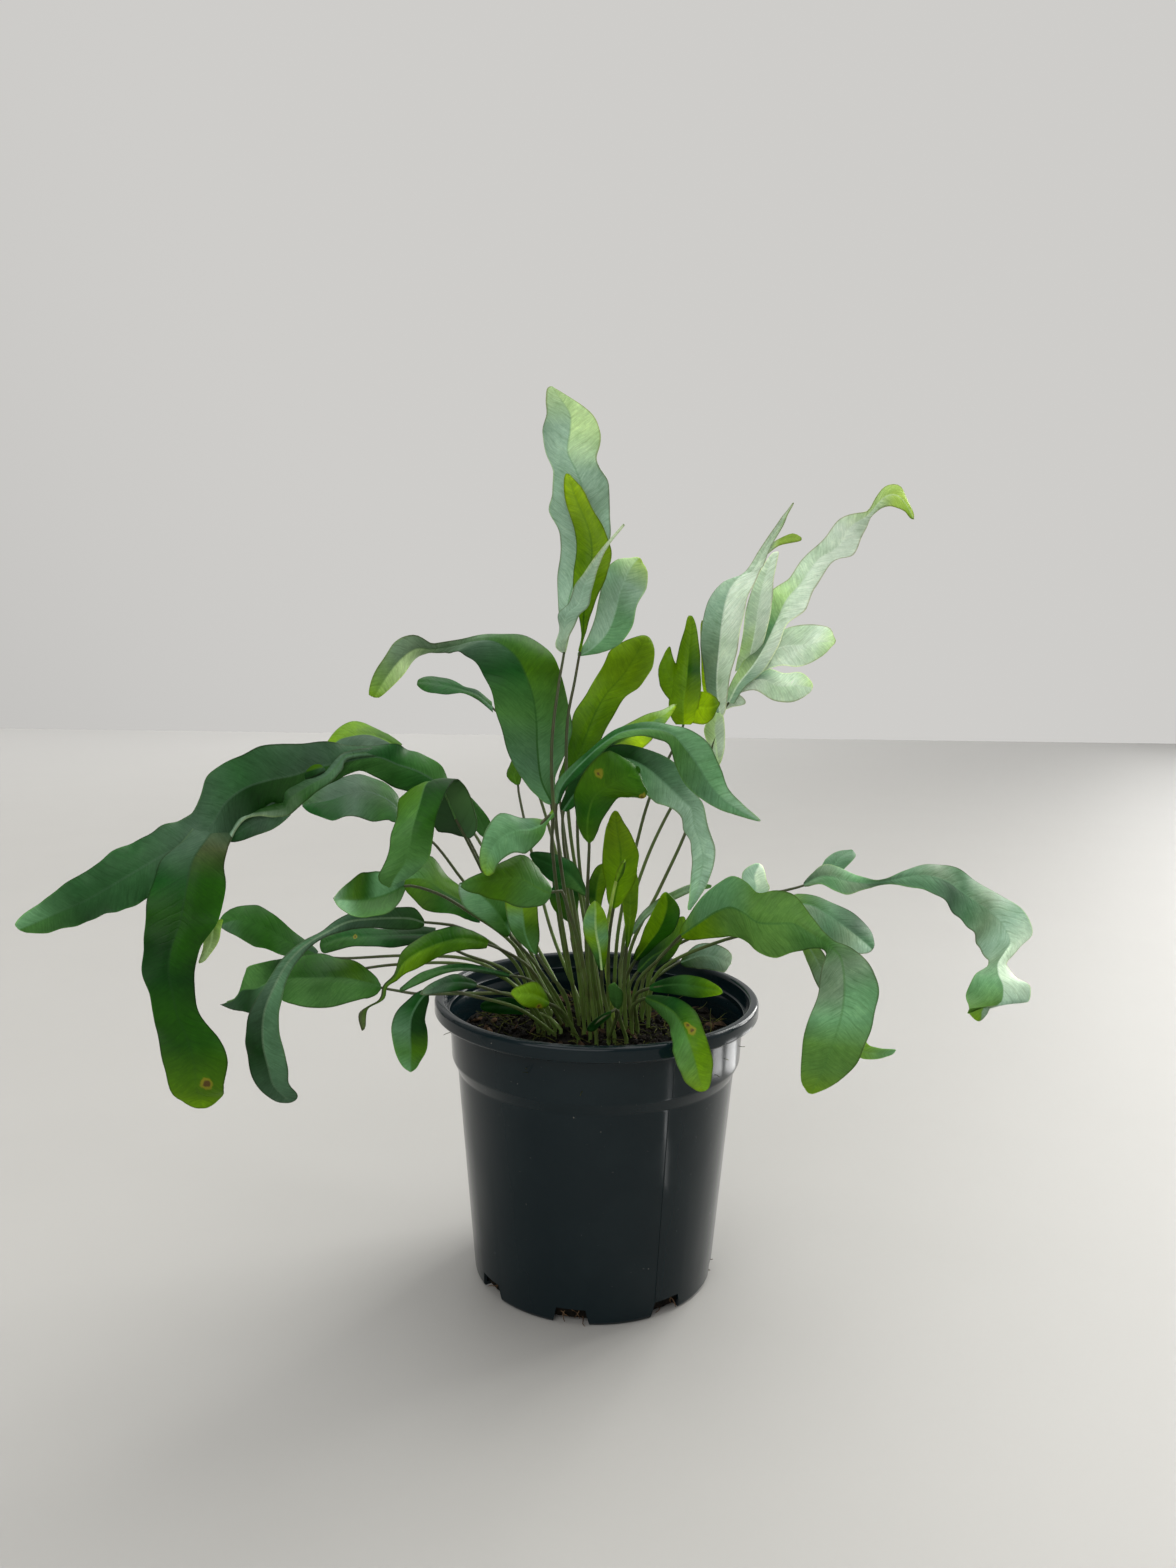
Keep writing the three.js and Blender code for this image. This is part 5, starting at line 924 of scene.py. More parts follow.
def even_line(points, step):
    """A smooth line through the points with even steps."""
    points = np.asarray(points, float)
    gaps = np.linalg.norm(np.diff(points, axis=0), axis=1) ** 0.5
    knots = np.concatenate([[0], np.cumsum(gaps)])
    dense = []
    for i in range(len(points) - 1):
        p1, p2 = points[i], points[i + 1]
        p0 = points[i - 1] if i else 2 * p1 - p2
        p3 = points[i + 2] if i + 2 < len(points) else 2 * p2 - p1
        t0 = knots[i] - (np.linalg.norm(p1 - p0) ** 0.5 or 1)
        t1, t2 = knots[i], knots[i + 1]
        t3 = t2 + (np.linalg.norm(p3 - p2) ** 0.5 or 1)
        t = np.linspace(t1, t2, LINE_DENSE, endpoint=i == len(points) - 2)[:, None]

        def between(a, b, start, end):
            return (end - t) / (end - start) * a + (t - start) / (end - start) * b

        a1, a2, a3 = between(p0, p1, t0, t1), between(p1, p2, t1, t2), between(p2, p3, t2, t3)
        dense.append(between(between(a1, a2, t0, t2), between(a2, a3, t1, t3), t1, t2))
    dense = np.concatenate(dense)
    reach = np.concatenate([[0], np.cumsum(np.linalg.norm(np.diff(dense, axis=0), axis=1))])
    count = max(LINE_LEAST, int(reach[-1] / step))
    at = np.linspace(0, reach[-1], count + 1)
    return np.stack([np.interp(at, reach, dense[:, k]) for k in range(3)], 1), at


def add_stalk(leafage, frond, middle, normal):
    i, j = frond["root"]
    x = SPOT_ACROSS * (i + (0.5 if j % 2 else 0))
    y = -SPOT_FRONT * j
    top = float(soil_top(x, y))
    stem = [place_on(frond, *point, sloped=False) for point in frond["stem"]]
    behind = middle - normal * STALK_BEHIND
    ends = [behind[0], behind[min(STALK_RUN, len(middle) - 1)]]
    points = [(x, y, top + STALK_CLEAR)] + stem + ends
    line, reach = even_line(points, STALK_STEP)
    line = np.vstack([[x, y, top - STALK_SUNK], line])
    reach = np.concatenate([[-STALK_SUNK - STALK_CLEAR], reach])
    share = np.clip(reach / reach[-1], 0, 1)
    radii = STALK_RADIUS + (RIB_RADIUS - STALK_RADIUS) * share ** 2
    verts, faces = tube(line, radii, STALK_SIDES)
    tint = np.repeat(stalk_colour(frond["name"], share), STALK_SIDES, axis=0)
    leafage.add(verts, faces, 1, tint, long=np.repeat(reach, STALK_SIDES))


def stalk_colour(name, share):
    if name in STALK_TONES:
        return np.tile(TONES[STALK_TONES[name]], (len(share), 1))
    low, high = np.array(STALK_LOW), np.array(STALK_HIGH)
    start, length = STALK_FADE
    return low + (high - low) * np.clip((share - start) / length, 0, 1)[:, None]


def add_rib(leafage, middle, normal, colour):
    """The midrib, raised on the back of the blade and fading out before the tip."""
    last = max(4, int(len(middle) * RIB_SHARE))
    share = np.linspace(0, 1, last)
    radii = RIB_RADIUS + (RIB_END_RADIUS - RIB_RADIUS) * share ** 0.6
    line = middle[:last] - normal[:last] * RIB_SUNK
    verts, faces = tube(line, radii, RIB_SIDES)
    leafage.add(verts, faces, 1, colour, long=np.repeat(share * 10, RIB_SIDES))


def build_frond(index, frond, materials):
    rng = np.random.default_rng(SEED + index)
    leafage = Leafage()
    for number, (rows, tones) in enumerate(zip(frond["blades"], frond["tones"])):
        middle, normal = add_blade(leafage, frond, rows, tones, rng, number > 0)
        if number == 0:
            add_stalk(leafage, frond, middle, normal)
        add_rib(leafage, middle, normal, midrib_tone(tones))
    piece = leafage.build("leafy_" + frond["name"], materials)
    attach(piece, "root")
    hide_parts(frond["name"])


class Nodes:
    """The shader nodes of a material or a world. A value is a number or a node's output."""

    def __init__(self, owner):
        owner.use_nodes = True
        self.owner = owner
        self.tree = owner.node_tree

    def add(self, kind, inputs=None, **settings):
        node = self.tree.nodes.new(kind)
        for key, value in settings.items():
            setattr(node, key, value)
        for key, value in (inputs or {}).items():
            if isinstance(value, bpy.types.NodeSocket):
                self.tree.links.new(value, node.inputs[key])
            else:
                node.inputs[key].default_value = value
        return node

    def calc(self, operation, a, b=0.0):
        return self.add("ShaderNodeMath", {0: a, 1: b}, operation=operation).outputs[0]

    def plus(self, a, b):
        return self.calc("ADD", a, b)

    def times(self, a, b):
        return self.calc("MULTIPLY", a, b)

    def vector(self, operation, a, b=(0.0, 0.0, 0.0)):
        return self.add("ShaderNodeVectorMath", {0: a, 1: b}, operation=operation).outputs["Value"]

    def ramp(self, value, low, high, start=0.0, end=1.0):
        """A smooth step of value from start at low to end at high."""
        inputs = {"Value": value, "From Min": low, "From Max": high, "To Min": start, "To Max": end}
        return self.add("ShaderNodeMapRange", inputs, interpolation_type="SMOOTHSTEP").outputs[0]

    def mix(self, share, a, b, blend="MIX"):
        inputs = {0: share, 6: a, 7: b if isinstance(b, bpy.types.NodeSocket) else (*b, 1.0)}
        return self.add("ShaderNodeMix", inputs, data_type="RGBA", blend_type=blend,
                        clamp_factor=True).outputs[2]

    def noise(self, coords, scale, detail=3.0, rough=0.55):
        inputs = {"Vector": coords, "Scale": scale, "Detail": detail, "Roughness": rough}
        return self.add("ShaderNodeTexNoise", inputs).outputs["Fac"]

    def stretched(self, coords, up):
        scale = (1.0, 1.0, up)
        return self.add("ShaderNodeMapping", {"Vector": coords, "Scale": scale}).outputs[0]

    def attribute(self, name, output="Fac"):
        return self.add("ShaderNodeAttribute", attribute_name=name).outputs[output]

    def finish(self, height, strength, inputs, depth=0.0003):
        """The material, once the shader and its bump are joined to the output."""
        bump = self.add("ShaderNodeBump",
                        {"Height": height, "Strength": strength, "Distance": depth})
        shader = self.add("ShaderNodeBsdfPrincipled", {"Normal": bump.outputs[0], **inputs})
        self.add("ShaderNodeOutputMaterial", {"Surface": shader.outputs[0]})
        return self.owner


def new_material(name):
    """An empty material and its object coordinates."""
    nodes = Nodes(bpy.data.materials.new(name))
    nodes.tree.nodes.clear()
    return nodes, nodes.add("ShaderNodeTexCoord").outputs["Object"]


# Leaf, lengths along and across a blade in millimetres
VEIN_SPACING = 4.6
VEIN_SLANT = 0.8
VEIN_WANDER = 8.0
NET_SCALE = 620.0
STREAK_ACROSS = 0.16
LEAF_LIGHT, LEAF_VEIL = 0.14, 0.15
# What lies over the upper side: its pattern, where it starts and where it is full, how much of
# it, its colour and how it is laid on
LEAF_LAYERS = [
    ("slow", 0.45, 0.68, 0.15, (1.0, 1.0, 1.0), "SOFT_LIGHT"),
    ("slow", 0.5, 0.3, 0.35, (0.6, 0.7, 0.55), "MULTIPLY"),
    ("mottle", 0.5, 0.34, 0.3, (0.6, 0.68, 0.6), "MULTIPLY"),
    ("mottle", 0.52, 0.68, 0.5, (1.3, 1.25, 1.25), "MULTIPLY"),
    ("streak", 0.48, 0.7, 0.7, (1.3, 1.22, 1.25), "MULTIPLY"),
    ("streak", 0.5, 0.3, 0.6, (0.7, 0.76, 0.68), "MULTIPLY"),
]
UPPER_VEIN, UPPER_NET, LOWER_VEIN = (0.5, 0.5, 0.35), (0.4, 0.45, 0.3), (0.6, 0.62, 0.45)
UNDERSIDE = (0.2, 0.3, 0.17)
# The dark margin of the blades, and a painted glow of light caught along the margin in places
DARK_RIM, PAINTED_EDGE_GLOW = (0.4, 0.3, 0.15), (1.5, 1.4, 1.0)
SPOT_HALO, SPOT_CENTRE, SPECK = (0.2, 0.2, 0.012), (0.09, 0.055, 0.014), (0.03, 0.03, 0.012)


def leaf_material():
    """A waxy leaf with faint side veins, mottling, a thin dark rim with a painted glow of light
    along parts of it, and a paler underside.
    """
    n, coords = new_material("waxy_leaf")
    wide = n.attribute("wide")
    far = n.calc("ABSOLUTE", wide)
    tint = n.mix(n.ramp(wide, -0.5, 0.5), n.attribute("tint", "Color"),
                 n.attribute("other", "Color"))
    line = n.times(n.attribute("line"), n.ramp(far, 0.2, 0.65, 1.0, 0.0))
    tint = n.mix(line, tint, n.attribute("rib", "Color"))
    under = n.attribute("under")
    slow = n.noise(coords, 55.0)
    fine = n.noise(coords, 420.0, 4.0)
    mottle = n.noise(coords, 140.0, 4.0, 0.65)

    slanted = n.calc("SUBTRACT", n.attribute("long"), n.times(far, VEIN_SLANT))
    slanted = n.plus(slanted, n.times(slow, VEIN_WANDER))
    saw = n.calc("FRACT", n.calc("DIVIDE", slanted, VEIN_SPACING))
    vein = n.ramp(n.calc("ABSOLUTE", n.calc("SUBTRACT", saw, 0.5)), 0.3, 0.5)
    vein = n.times(vein, n.ramp(n.noise(coords, 90.0, 2.0), 0.35, 0.65, 0.2, 1.0))
    cells = n.add("ShaderNodeTexVoronoi", {"Vector": coords, "Scale": NET_SCALE},
                  feature="DISTANCE_TO_EDGE").outputs["Distance"]
    net = n.ramp(cells, 0.0, 0.22, 1.0, 0.0)
    beside = n.add("ShaderNodeCombineXYZ", {"X": slanted, "Y": n.times(far, STREAK_ACROSS)})
    streak = n.noise(beside.outputs[0], 1.3)

    patterns = {"slow": slow, "mottle": mottle, "streak": streak}
    upper = tint
    for pattern, low, high, most, colour, blend in LEAF_LAYERS:
        upper = n.mix(n.ramp(patterns[pattern], low, high, 0.0, most), upper, colour, blend)
    upper = n.mix(n.times(vein, 0.2), upper, UPPER_VEIN, "MULTIPLY")
    upper = n.mix(n.times(net, 0.08), upper, UPPER_NET, "MULTIPLY")
    lower = n.mix(LEAF_VEIL, tint, UNDERSIDE)
    lower = n.mix(n.times(vein, 0.25), lower, LOWER_VEIN, "MULTIPLY")
    colour = n.mix(under, upper, lower)

    # Painted glow of light along parts of the margin, at places that noise picks, over the dark rim
    # elsewhere
    edge_glow_share = n.ramp(n.noise(coords, 30.0, 1.0), 0.45, 0.6)
    rim = n.mix(edge_glow_share, (*DARK_RIM, 1.0), PAINTED_EDGE_GLOW)
    colour = n.mix(n.ramp(n.attribute("edge"), 0.2, 0.85, 0.6, 0.0), colour, rim, "MULTIPLY")
    spot = n.plus(n.attribute("spot"), n.times(fine, 0.5))
    colour = n.mix(n.ramp(spot, 0.5, 0.85), colour, SPOT_HALO)
    colour = n.mix(n.ramp(spot, 0.95, 1.2), colour, SPOT_CENTRE)
    colour = n.mix(n.ramp(n.noise(coords, 900.0, 2.0), 0.74, 0.78, 0.0, 0.4), colour, SPECK)
    rough = n.plus(n.times(under, 0.1), n.ramp(slow, 0.3, 0.7, 0.36, 0.5))
    height = n.plus(n.times(vein, -0.35), n.times(net, -0.05))
    height = n.plus(height, n.times(fine, 0.12))
    return n.finish(height, 0.5, {"Base Color": colour, "Roughness": rough,
                                  "Specular IOR Level": LEAF_LIGHT})


STALK_GRAIN, STALK_PATCH = (0.12, 0.1, 0.05), (0.05, 0.035, 0.02)


def stalk_material():
    n, coords = new_material("stalk_skin")
    grain = n.noise(n.stretched(coords, 0.2), 900.0)
    patches = n.noise(coords, 120.0, 2.0)
    colour = n.mix(n.ramp(grain, 0.35, 0.7, 0.0, 0.35), n.attribute("tint", "Color"), STALK_GRAIN)
    colour = n.mix(n.ramp(patches, 0.5, 0.7, 0.0, 0.4), colour, STALK_PATCH)
    return n.finish(grain, 0.2, {"Base Color": colour, "Roughness": 0.5,
                                 "Specular IOR Level": 0.25})


POT_DARK, POT_LIGHT, POT_DUST = (0.004, 0.011, 0.014), (0.006, 0.014, 0.017), (0.22, 0.21, 0.18)


def pot_material():
    """Glossy black moulded plastic with a faint ripple, dust and fine scratches."""
    n, coords = new_material("pot_plastic")
    ripple = n.noise(coords, 22.0, 2.0)
    dust = n.noise(coords, 700.0)
    cloud = n.noise(coords, 40.0)
    brushed = n.noise(n.stretched(coords, 14.0), 60.0, 4.0)
    colour = n.mix(n.ramp(cloud, 0.4, 0.7, 0.0, 0.7), (*POT_DARK, 1.0), POT_LIGHT)
    specks = n.times(n.ramp(dust, 0.73, 0.78), n.ramp(cloud, 0.4, 0.6, 0.1, 0.8))
    colour = n.mix(specks, colour, POT_DUST)
    rough = n.plus(n.ramp(cloud, 0.3, 0.7, 0.07, 0.16), n.times(specks, 0.4))
    rough = n.plus(rough, n.times(brushed, 0.06))
    height = n.plus(ripple, n.times(brushed, 0.02))
    return n.finish(height, 0.3, {"Base Color": colour, "Roughness": rough,
                                  "Specular IOR Level": 0.22}, 0.0012)


# Dark and light colour and grain of the soil and what lies on it
SOIL_LOOKS = [
    ("dark_compost", (0.003, 0.0027, 0.002), (0.01, 0.0075, 0.005), 300.0),
    ("bark_chip", (0.02, 0.012, 0.007), (0.075, 0.045, 0.024), 200.0),
    ("moss_strand", (0.03, 0.035, 0.008), (0.1, 0.11, 0.025), 160.0),
    ("dry_root", (0.06, 0.035, 0.02), (0.16, 0.1, 0.055), 220.0),
]


def soil_material(name, dark, light, scale):
    n, coords = new_material(name)
    lumps = n.noise(coords, scale, 5.0)
    crumbs = n.noise(coords, scale * 4, 4.0)
    colour = n.mix(n.ramp(lumps, 0.38, 0.68), (*dark, 1.0), light)
    brighter = [2.2 * part for part in light]
    colour = n.mix(n.ramp(crumbs, 0.6, 0.75, 0.0, 0.5), colour, brighter)
    height = n.plus(lumps, n.times(crumbs, 0.5))
    return n.finish(height, 0.9, {"Base Color": colour, "Roughness": 0.85,
                                  "Specular IOR Level": 0.1}, 0.001)


# Pot, in millimetres
POT_SEGMENTS = 160
ROUNDING_STEPS = 3
STEP_RADIUS, STEP_HEIGHT = 60, 91.7
COLLAR_HEIGHT = 97
# Radius, height and corner rounding of each point of its outline
POT_OUTLINE = [
    (51.3, 0, 0), (52.3, 1.2, 0.8), (STEP_RADIUS, STEP_HEIGHT, 0.7), (62.5, COLLAR_HEIGHT, 0.7),
    (63.5, 114.2, 0), (63.5, 116.2, 0.5), (69.4, 116.2, 0.5), (70, 117, 0.6), (70, 121.5, 1.0),
    (69.1, 122.5, 0.9), (66.6, 122.5, 0.8), (65.7, 121.5, 1.0), (64.8, 116.5, 3), (62.2, 111, 3),
    (61, COLLAR_HEIGHT, 1.2), (58.5, STEP_HEIGHT, 1.2), (50.8, 1.6, 1.0),
]
NOTCHES = 8
NOTCH_FIRST_ANGLE = -100
NOTCH_WIDTH = 16
NOTCH_TOP_WIDTH = 12
NOTCH_HEIGHT = 7
NOTCH_RADII = (45, 70)
WEDGE_FACES = [(0, 1, 2, 3), (4, 5, 6, 7), (0, 1, 5, 4), (1, 2, 6, 5), (2, 3, 7, 6), (3, 0, 4, 7)]
MOULD_LINE_ANGLES = (-61.5, 118.5)
MOULD_LINE_RADIUS = 0.18
MOULD_LINE_STEPS = 12
MOULD_LINE_SIDES = 8
# Radius and height at both ends of the line's stretches, on the wall and on the collar
MOULD_LINE_STRETCHES = (((53, 8), (60, 91.5)), ((62.6, 97.5), (63.5, 115.8)))


def rounded(outline):
    """The outline with each corner cut into a short arc."""
    points = [np.array(outline[0][:2], float)]
    for before, corner, after in zip(outline, outline[1:], outline[2:]):
        b, c, a = (np.array(point[:2], float) for point in (before, corner, after))
        back, on = np.linalg.norm(b - c), np.linalg.norm(a - c)
        reach = min(corner[2], back * 0.45, on * 0.45)
        if reach <= 0:
            points.append(c)
            continue
        start, end = c + (b - c) / back * reach, c + (a - c) / on * reach
        for t in np.linspace(0, 1, ROUNDING_STEPS + 1):
            points.append((1 - t) ** 2 * start + 2 * t * (1 - t) * c + t ** 2 * end)
    points.append(np.array(outline[-1][:2], float))
    return np.array(points)


def lathe(profile, segments):
    """Rings of points round Z with faces between them, closed at both ends."""
    turn = 2 * np.pi * np.arange(segments) / segments
    ring = np.stack([np.cos(turn), np.sin(turn)], 1)
    verts = [[r * x, r * y, z] for r, z in profile for x, y in ring]
    return np.array(verts), capped_faces(len(profile), segments)


def notch_cutters():
    """One mesh of the wedges that open the foot of the pot."""
    verts, faces = [], []
    for n in range(NOTCHES):
        turn = math.radians(NOTCH_FIRST_ANGLE + n * 360 / NOTCHES)
        start = len(verts)
        for radius in NOTCH_RADII:
            for side, up in ((-NOTCH_WIDTH / 2, -2), (NOTCH_WIDTH / 2, -2),
                             (NOTCH_TOP_WIDTH / 2, NOTCH_HEIGHT),
                             (-NOTCH_TOP_WIDTH / 2, NOTCH_HEIGHT)):
                verts.append((radius * math.cos(turn) - side * math.sin(turn),
                              radius * math.sin(turn) + side * math.cos(turn), up))
        faces += [tuple(start + corner for corner in face) for face in WEDGE_FACES]
    return verts, faces


def cut_notches(pot, cutter):
    cut = pot.modifiers.new("notches", "BOOLEAN")
    cut.operation = "DIFFERENCE"
    cut.solver = "EXACT"
    cut.object = cutter
    shown = pot.evaluated_get(bpy.context.evaluated_depsgraph_get())
    mesh = bpy.data.meshes.new_from_object(shown)
    pot.modifiers.clear()
    pot.data = mesh
    bpy.data.objects.remove(cutter)
    mesh.set_sharp_from_angle(angle=math.radians(SHARP))


def build_pot(material):
    pot = new_piece("pot_shell", *lathe(rounded(POT_OUTLINE), POT_SEGMENTS), material)
    cut_notches(pot, new_piece("notch_cutter", *notch_cutters(), material))
    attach(pot, "root")
    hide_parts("pot")
    for number, angle in enumerate(MOULD_LINE_ANGLES):
        turn = math.radians(angle)
        line = []
        steps = np.linspace(0, 1, MOULD_LINE_STEPS)
        radii = np.full(MOULD_LINE_STEPS, MOULD_LINE_RADIUS)
        for (r1, z1), (r2, z2) in MOULD_LINE_STRETCHES:
            r = r1 + (r2 - r1) * steps
            points = np.stack([r * math.cos(turn), r * math.sin(turn), z1 + (z2 - z1) * steps], 1)
            line.append(tube(points, radii, MOULD_LINE_SIDES))
        seam = new_piece("pot_mould_line_%d" % (number + 1), *joined_up(line), material, sharp=60)
        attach(seam, "root")


# Soil and what lies on it, in millimetres
SOIL_RINGS = 70
SOIL_TURNS = 220
SOIL_RADIUS = 60.6
SOIL_FOOT_RADIUS = 50
SOIL_STEP_RADIUS = 57.6
SOIL_COLLAR_OUT = 2.4
SOIL_FOOT = 2
SOIL_SIDE_TOP = 102
SOIL_SIDE_RINGS = 30
CRUMB_CLEAR = 1.5
FIBRE_RADIUS = 57
CRUMBS = 2600
BARK_BITS = 150
FIBRES = 520
ROOTS = 44
STRAND_POINTS = 9
STRAND_SIDES = 4
FLOOR_CLEAR = 0.4


def on_circle(radius, turn):
    return radius * math.cos(turn), radius * math.sin(turn)


def rough_soil(x, y):
    """Height of the loose surface at a point, with crumbs and hollows."""
    coarse = bnoise.noise(Vector((x * 0.11, y * 0.11, 3.0)))
    fine = bnoise.noise(Vector((x * 0.5, y * 0.5, 7.0)))
    return float(soil_top(x, y)) + 1.5 * coarse + 0.8 * fine


def soil_side(z, turn):
    """A point of the root ball's side, inside the pot's wall."""
    r = SOIL_FOOT_RADIUS + (SOIL_STEP_RADIUS - SOIL_FOOT_RADIUS) * min(z / STEP_HEIGHT, 1)
    r += SOIL_COLLAR_OUT if z > COLLAR_HEIGHT else 0
    x, y = on_circle(r, turn)
    r += 0.5 * bnoise.noise(Vector((x * 0.4, y * 0.4, z * 0.4))) - 0.3
    return (*on_circle(r, turn), z)


def build_soil(material):
    turns = 2 * np.pi * np.arange(SOIL_TURNS) / SOIL_TURNS
    verts = [(0.0, 0.0, rough_soil(0, 0))]
    for r in (np.linspace(0, 1, SOIL_RINGS) ** 0.8 * SOIL_RADIUS)[1:]:
        verts += [(*on_circle(r, turn), rough_soil(*on_circle(r, turn))) for turn in turns]
    for share in np.linspace(0, 1, SOIL_SIDE_RINGS)[1:]:
        z = SOIL_SIDE_TOP + (SOIL_FOOT - SOIL_SIDE_TOP) * share
        verts += [soil_side(z, turn) for turn in turns]
    faces = [(0, 1 + k, 1 + (k + 1) % SOIL_TURNS) for k in range(SOIL_TURNS)]
    faces += ring_faces((len(verts) - 1) // SOIL_TURNS, SOIL_TURNS, 1)
    faces.append(tuple(range(len(verts) - SOIL_TURNS, len(verts))))
    bed = new_piece("soil_bed", verts, faces, material, sharp=80)
    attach(bed, "root")
    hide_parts("soil")


GOLDEN = (1 + 5 ** 0.5) / 2
CRUMB_POINTS = np.array([
    (-1, GOLDEN, 0), (1, GOLDEN, 0), (-1, -GOLDEN, 0), (1, -GOLDEN, 0),
    (0, -1, GOLDEN), (0, 1, GOLDEN), (0, -1, -GOLDEN), (0, 1, -GOLDEN),
    (GOLDEN, 0, -1), (GOLDEN, 0, 1), (-GOLDEN, 0, -1), (-GOLDEN, 0, 1),
]) / 1.9
CRUMB_FACES = [
    (0, 11, 5), (0, 5, 1), (0, 1, 7), (0, 7, 10), (0, 10, 11), (1, 5, 9), (5, 11, 4), (11, 10, 2),
    (10, 7, 6), (7, 1, 8), (3, 9, 4), (3, 4, 2), (3, 2, 6), (3, 6, 8), (3, 8, 9), (4, 9, 5),
    (2, 4, 11), (6, 2, 10), (8, 6, 7), (9, 8, 1),
]


def crumb(rng, size, stretch):
    """An irregular crumb: a twenty-sided form with its corners moved at random."""
    points = CRUMB_POINTS * size * rng.uniform(0.7, 1.3, (12, 1)) * stretch
    turn = Matrix.Rotation(rng.uniform(0, 6.28), 3, Vector(rng.normal(size=3)).normalized())
    return points @ np.array(turn)


def random_spot(rng, radius):
    """A point at random on the soil, within a radius."""
    return on_circle(radius * math.sqrt(rng.uniform()), rng.uniform(0, 2 * math.pi))


def scatter(name, count, material, rng, sizes, stretch):
    parts = []
    for _ in range(count):
        x, y = random_spot(rng, SOIL_RADIUS - CRUMB_CLEAR)
        size = rng.uniform(*sizes)
        parts.append((crumb(rng, size, stretch) + (x, y, rough_soil(x, y) + 0.25 * size),
                      CRUMB_FACES))
    piece = new_piece(name, *joined_up(parts), material, sharp=50)
    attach(piece, "root")


def strand(rng, start, length, radius, rise):
    """A thin curly strand that never goes below the floor."""
    point = np.array(start(rng))
    heading = rng.uniform(0, 2 * math.pi)
    climb = rng.uniform(*rise)
    points = []
    for _ in range(STRAND_POINTS):
        points.append(point.copy())
        heading += rng.normal(0, 0.45)
        climb += rng.normal(0, 0.2) - 0.08
        step = rng.uniform(*length) / (STRAND_POINTS - 1)
        point = point + step * np.array([math.cos(heading), math.sin(heading), climb])
        point[2] = max(point[2], FLOOR_CLEAR)
    return tube(points, np.linspace(radius, radius * 0.5, STRAND_POINTS), STRAND_SIDES)


def build_strands(name, count, material, rng, **shape):
    """Thin curly strands, each of the shape that strand() makes."""
    parts = [strand(rng, **shape) for _ in range(count)]
    piece = new_piece(name, *joined_up(parts), material, sharp=80)
    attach(piece, "root")


def on_soil(rng):
    x, y = random_spot(rng, FIBRE_RADIUS)
    return x, y, rough_soil(x, y) + 0.2


def in_notch(rng):
    turn = math.radians(NOTCH_FIRST_ANGLE + rng.integers(NOTCHES) * 360 / NOTCHES)
    turn += rng.uniform(-0.1, 0.1)
    return (*on_circle(rng.uniform(48.5, 50), turn), rng.uniform(2.5, 6))


def build_ground_cover():
    """The soil, and the crumbs, bark, moss and roots on it."""
    rng = np.random.default_rng(SEED)
    soil, bark, moss, root = (soil_material(*look) for look in SOIL_LOOKS)
    build_soil(soil)
    scatter("soil_crumbs", CRUMBS, soil, rng, sizes=(0.5, 1.5), stretch=(1, 1, 0.8))
    scatter("bark_bits", BARK_BITS, bark, rng, sizes=(1.0, 2.4), stretch=(1.9, 0.9, 0.5))
    build_strands("moss_strands", FIBRES, moss, rng, start=on_soil, length=(7, 16), radius=0.22,
                  rise=(0.0, 0.55))
    build_strands("notch_roots", ROOTS, root, rng, start=in_notch, length=(3, 7), radius=0.3,
                  rise=(-0.2, 0.3))


# Stage, in metres and watts
FLOOR_HALF = 3.0
FLOOR_NEAR, FLOOR_NEAR_LIGHT = (0.4, 0.393, 0.375), (0.42, 0.413, 0.394)
FLOOR_FAR = (0.7, 0.695, 0.68)
# The floor is darker under the window, so that it looks evenly lit: its middle and how dark
WINDOW_FOOT = (2.16, 2.07, 0)
WINDOW_FOOT_SHADE = (0.2, 0.2, 0.2)
WINDOW_WAY = (0.72, 0.69, 0)
WINDOW_FAR = 3.0
WINDOW_HEIGHT = 1.5
WINDOW_PANES = 3
WINDOW_PITCH = 0.76
PANE_SIZE, PANE_POWER, PANE_COLOUR = (0.6, 2.2), 35, (1, 0.99, 0.96)
AIM = (0, 0, 0.2)
# Soft lights: name, size, power and place
SOFT_LIGHTS = [("fill", (4.4, 3.2), 88, (-1.4, -3.4, 2.4)),
               ("overhead", (3.2, 3.2), 68, (0.2, 0.7, 3.2))]
# Patches of light low beside the pot, seen only as shine on it: name, angle, near and far end,
# width and power
SHINE = [("shine_a", 9, 0.245, 0.34, 0.06, 0.1), ("shine_b", 32, 0.245, 0.34, 0.1, 0.1),
         ("shine_slit", -38, 0.13, 0.3, 0.006, 0.015)]
SHINE_HEIGHT = 0.003
WORLD_COLOUR = (1.0, 0.985, 0.955, 1.0)
WORLD_BRIGHT_WAY = (0.45, 0.75, 0.5)
WORLD_DIM = 0.2
WORLD_BRIGHT = 0.62


def floor_material():
    n, coords = new_material("pale_floor")
    grain = n.noise(coords, 9.0)
    colour = n.mix(grain, (*FLOOR_NEAR, 1.0), FLOOR_NEAR_LIGHT)
    colour = n.mix(n.ramp(n.vector("LENGTH", coords), 0.8, 4.0), colour, FLOOR_FAR)
    shaded = n.mix(1.0, colour, WINDOW_FOOT_SHADE, "MULTIPLY")
    beside = n.vector("DISTANCE", coords, WINDOW_FOOT)
    colour = n.mix(n.ramp(beside, 0.6, 3.2), shaded, colour)
    return n.finish(grain, 0.02, {"Base Color": colour, "Roughness": 0.6})


def area_light(name, size, power, spot, aim, colour=(1, 1, 1)):
    data = bpy.data.lights.new(name, "AREA")
    data.shape = "RECTANGLE"
    data.size, data.size_y = size
    data.energy = power
    data.color = colour
    light = bpy.data.objects.new(name, data)
    light.location = spot
    light.rotation_euler = (Vector(aim) - Vector(spot)).to_track_quat("-Z", "Y").to_euler()
    bpy.context.scene.collection.objects.link(light)
    return light


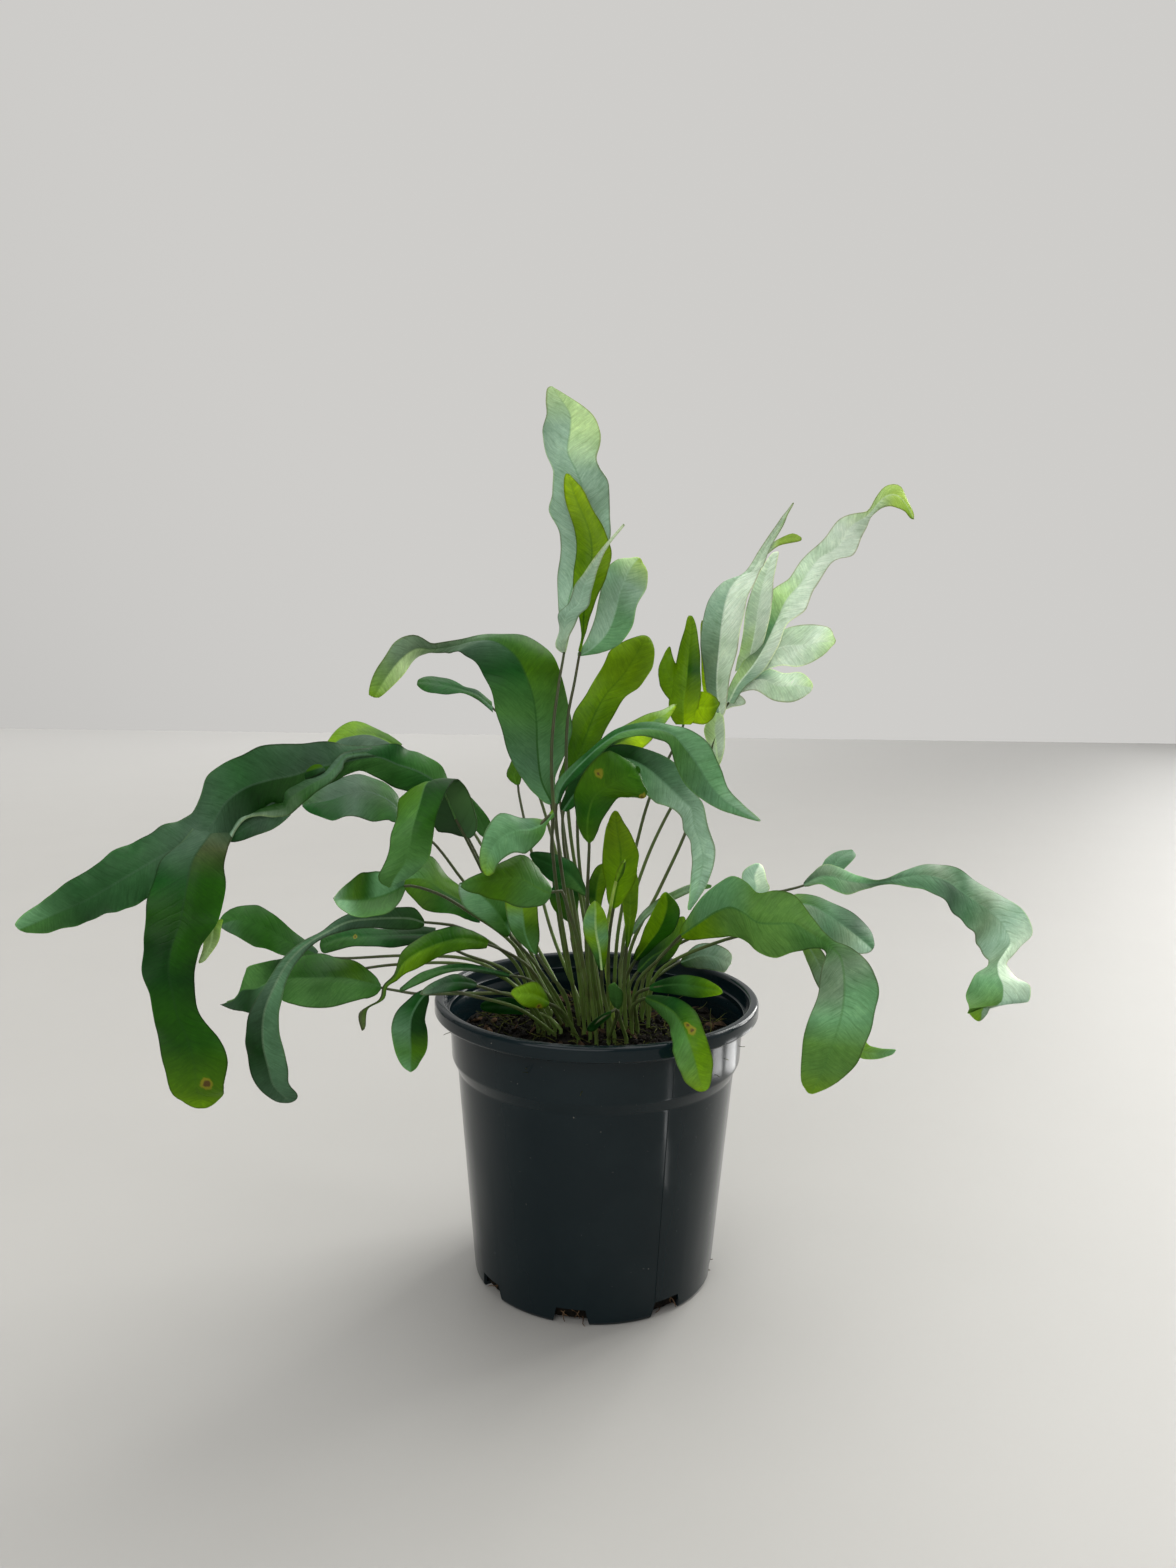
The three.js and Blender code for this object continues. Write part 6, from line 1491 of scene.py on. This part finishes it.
def build_floor():
    half = FLOOR_HALF / MM
    corners = [(-half, -half, 0), (half, -half, 0), (half, half, 0), (-half, half, 0)]
    floor = new_piece("floor", corners, [(0, 1, 2, 3)], floor_material())


def build_lights():
    across = Vector(WINDOW_WAY).cross(Vector((0, 0, 1))).normalized()
    for pane in range(WINDOW_PANES):
        shift = across * (pane - (WINDOW_PANES - 1) / 2) * WINDOW_PITCH
        spot = Vector(WINDOW_WAY) * WINDOW_FAR + shift + Vector((0, 0, WINDOW_HEIGHT))
        area_light("window_%d" % (pane + 1), PANE_SIZE, PANE_POWER, spot, Vector(AIM) + shift,
                   PANE_COLOUR)
    for name, size, power, spot in SOFT_LIGHTS:
        area_light(name, size, power, spot, AIM)


def build_shine():
    shine = bpy.data.collections.new("pot_shine")
    for piece in bpy.context.scene.objects:
        if piece.name.startswith("pot_"):
            shine.objects.link(piece)
    for name, turn, near, far, wide, power in SHINE:
        spot = Vector((*on_circle((near + far) / 2, math.radians(turn)), SHINE_HEIGHT))
        light = area_light(name, (wide, far - near), power, spot, spot + Vector((0, 0, 1)))
        light.rotation_euler = (math.pi, 0, math.radians(turn - 90))
        light.visible_camera = False
        light.light_linking.receiver_collection = shine


def build_world():
    """Soft light that is brighter from above, behind and the right than from the front."""
    world = bpy.data.worlds.new("studio")
    n = Nodes(world)
    way = n.add("ShaderNodeTexCoord").outputs["Generated"]
    toward = n.vector("DOT_PRODUCT", way, WORLD_BRIGHT_WAY)
    background = n.tree.nodes["Background"]
    background.inputs["Color"].default_value = WORLD_COLOUR
    n.tree.links.new(n.ramp(toward, -0.5, 0.75, WORLD_DIM, WORLD_BRIGHT),
                     background.inputs["Strength"])
    bpy.context.scene.world = world


def build_camera():
    bpy.context.scene.view_settings.view_transform = "Standard"
    data = bpy.data.cameras.new("camera")
    data.lens = LENS
    data.sensor_width = SENSOR
    data.sensor_fit = "AUTO"
    data.clip_start = 0.01
    camera = bpy.data.objects.new("camera", data)
    tilt = Matrix.Rotation(math.radians(90 - PITCH_DOWN), 4, "X")
    roll = Matrix.Rotation(math.radians(ROLL), 4, "Z")
    eye = Matrix.Translation(Vector((EYE_ACROSS, -EYE_DISTANCE, EYE_HEIGHT)) * MM)
    camera.matrix_world = eye @ tilt @ roll
    bpy.context.scene.collection.objects.link(camera)
    bpy.context.scene.camera = camera


leaf_slots = [leaf_material(), stalk_material()]
for index, frond in enumerate(read_fronds(FRONDS)):
    build_frond(index, frond, leaf_slots)
build_pot(pot_material())
build_ground_cover()
build_floor()
build_world()
build_lights()
build_shine()
build_camera()
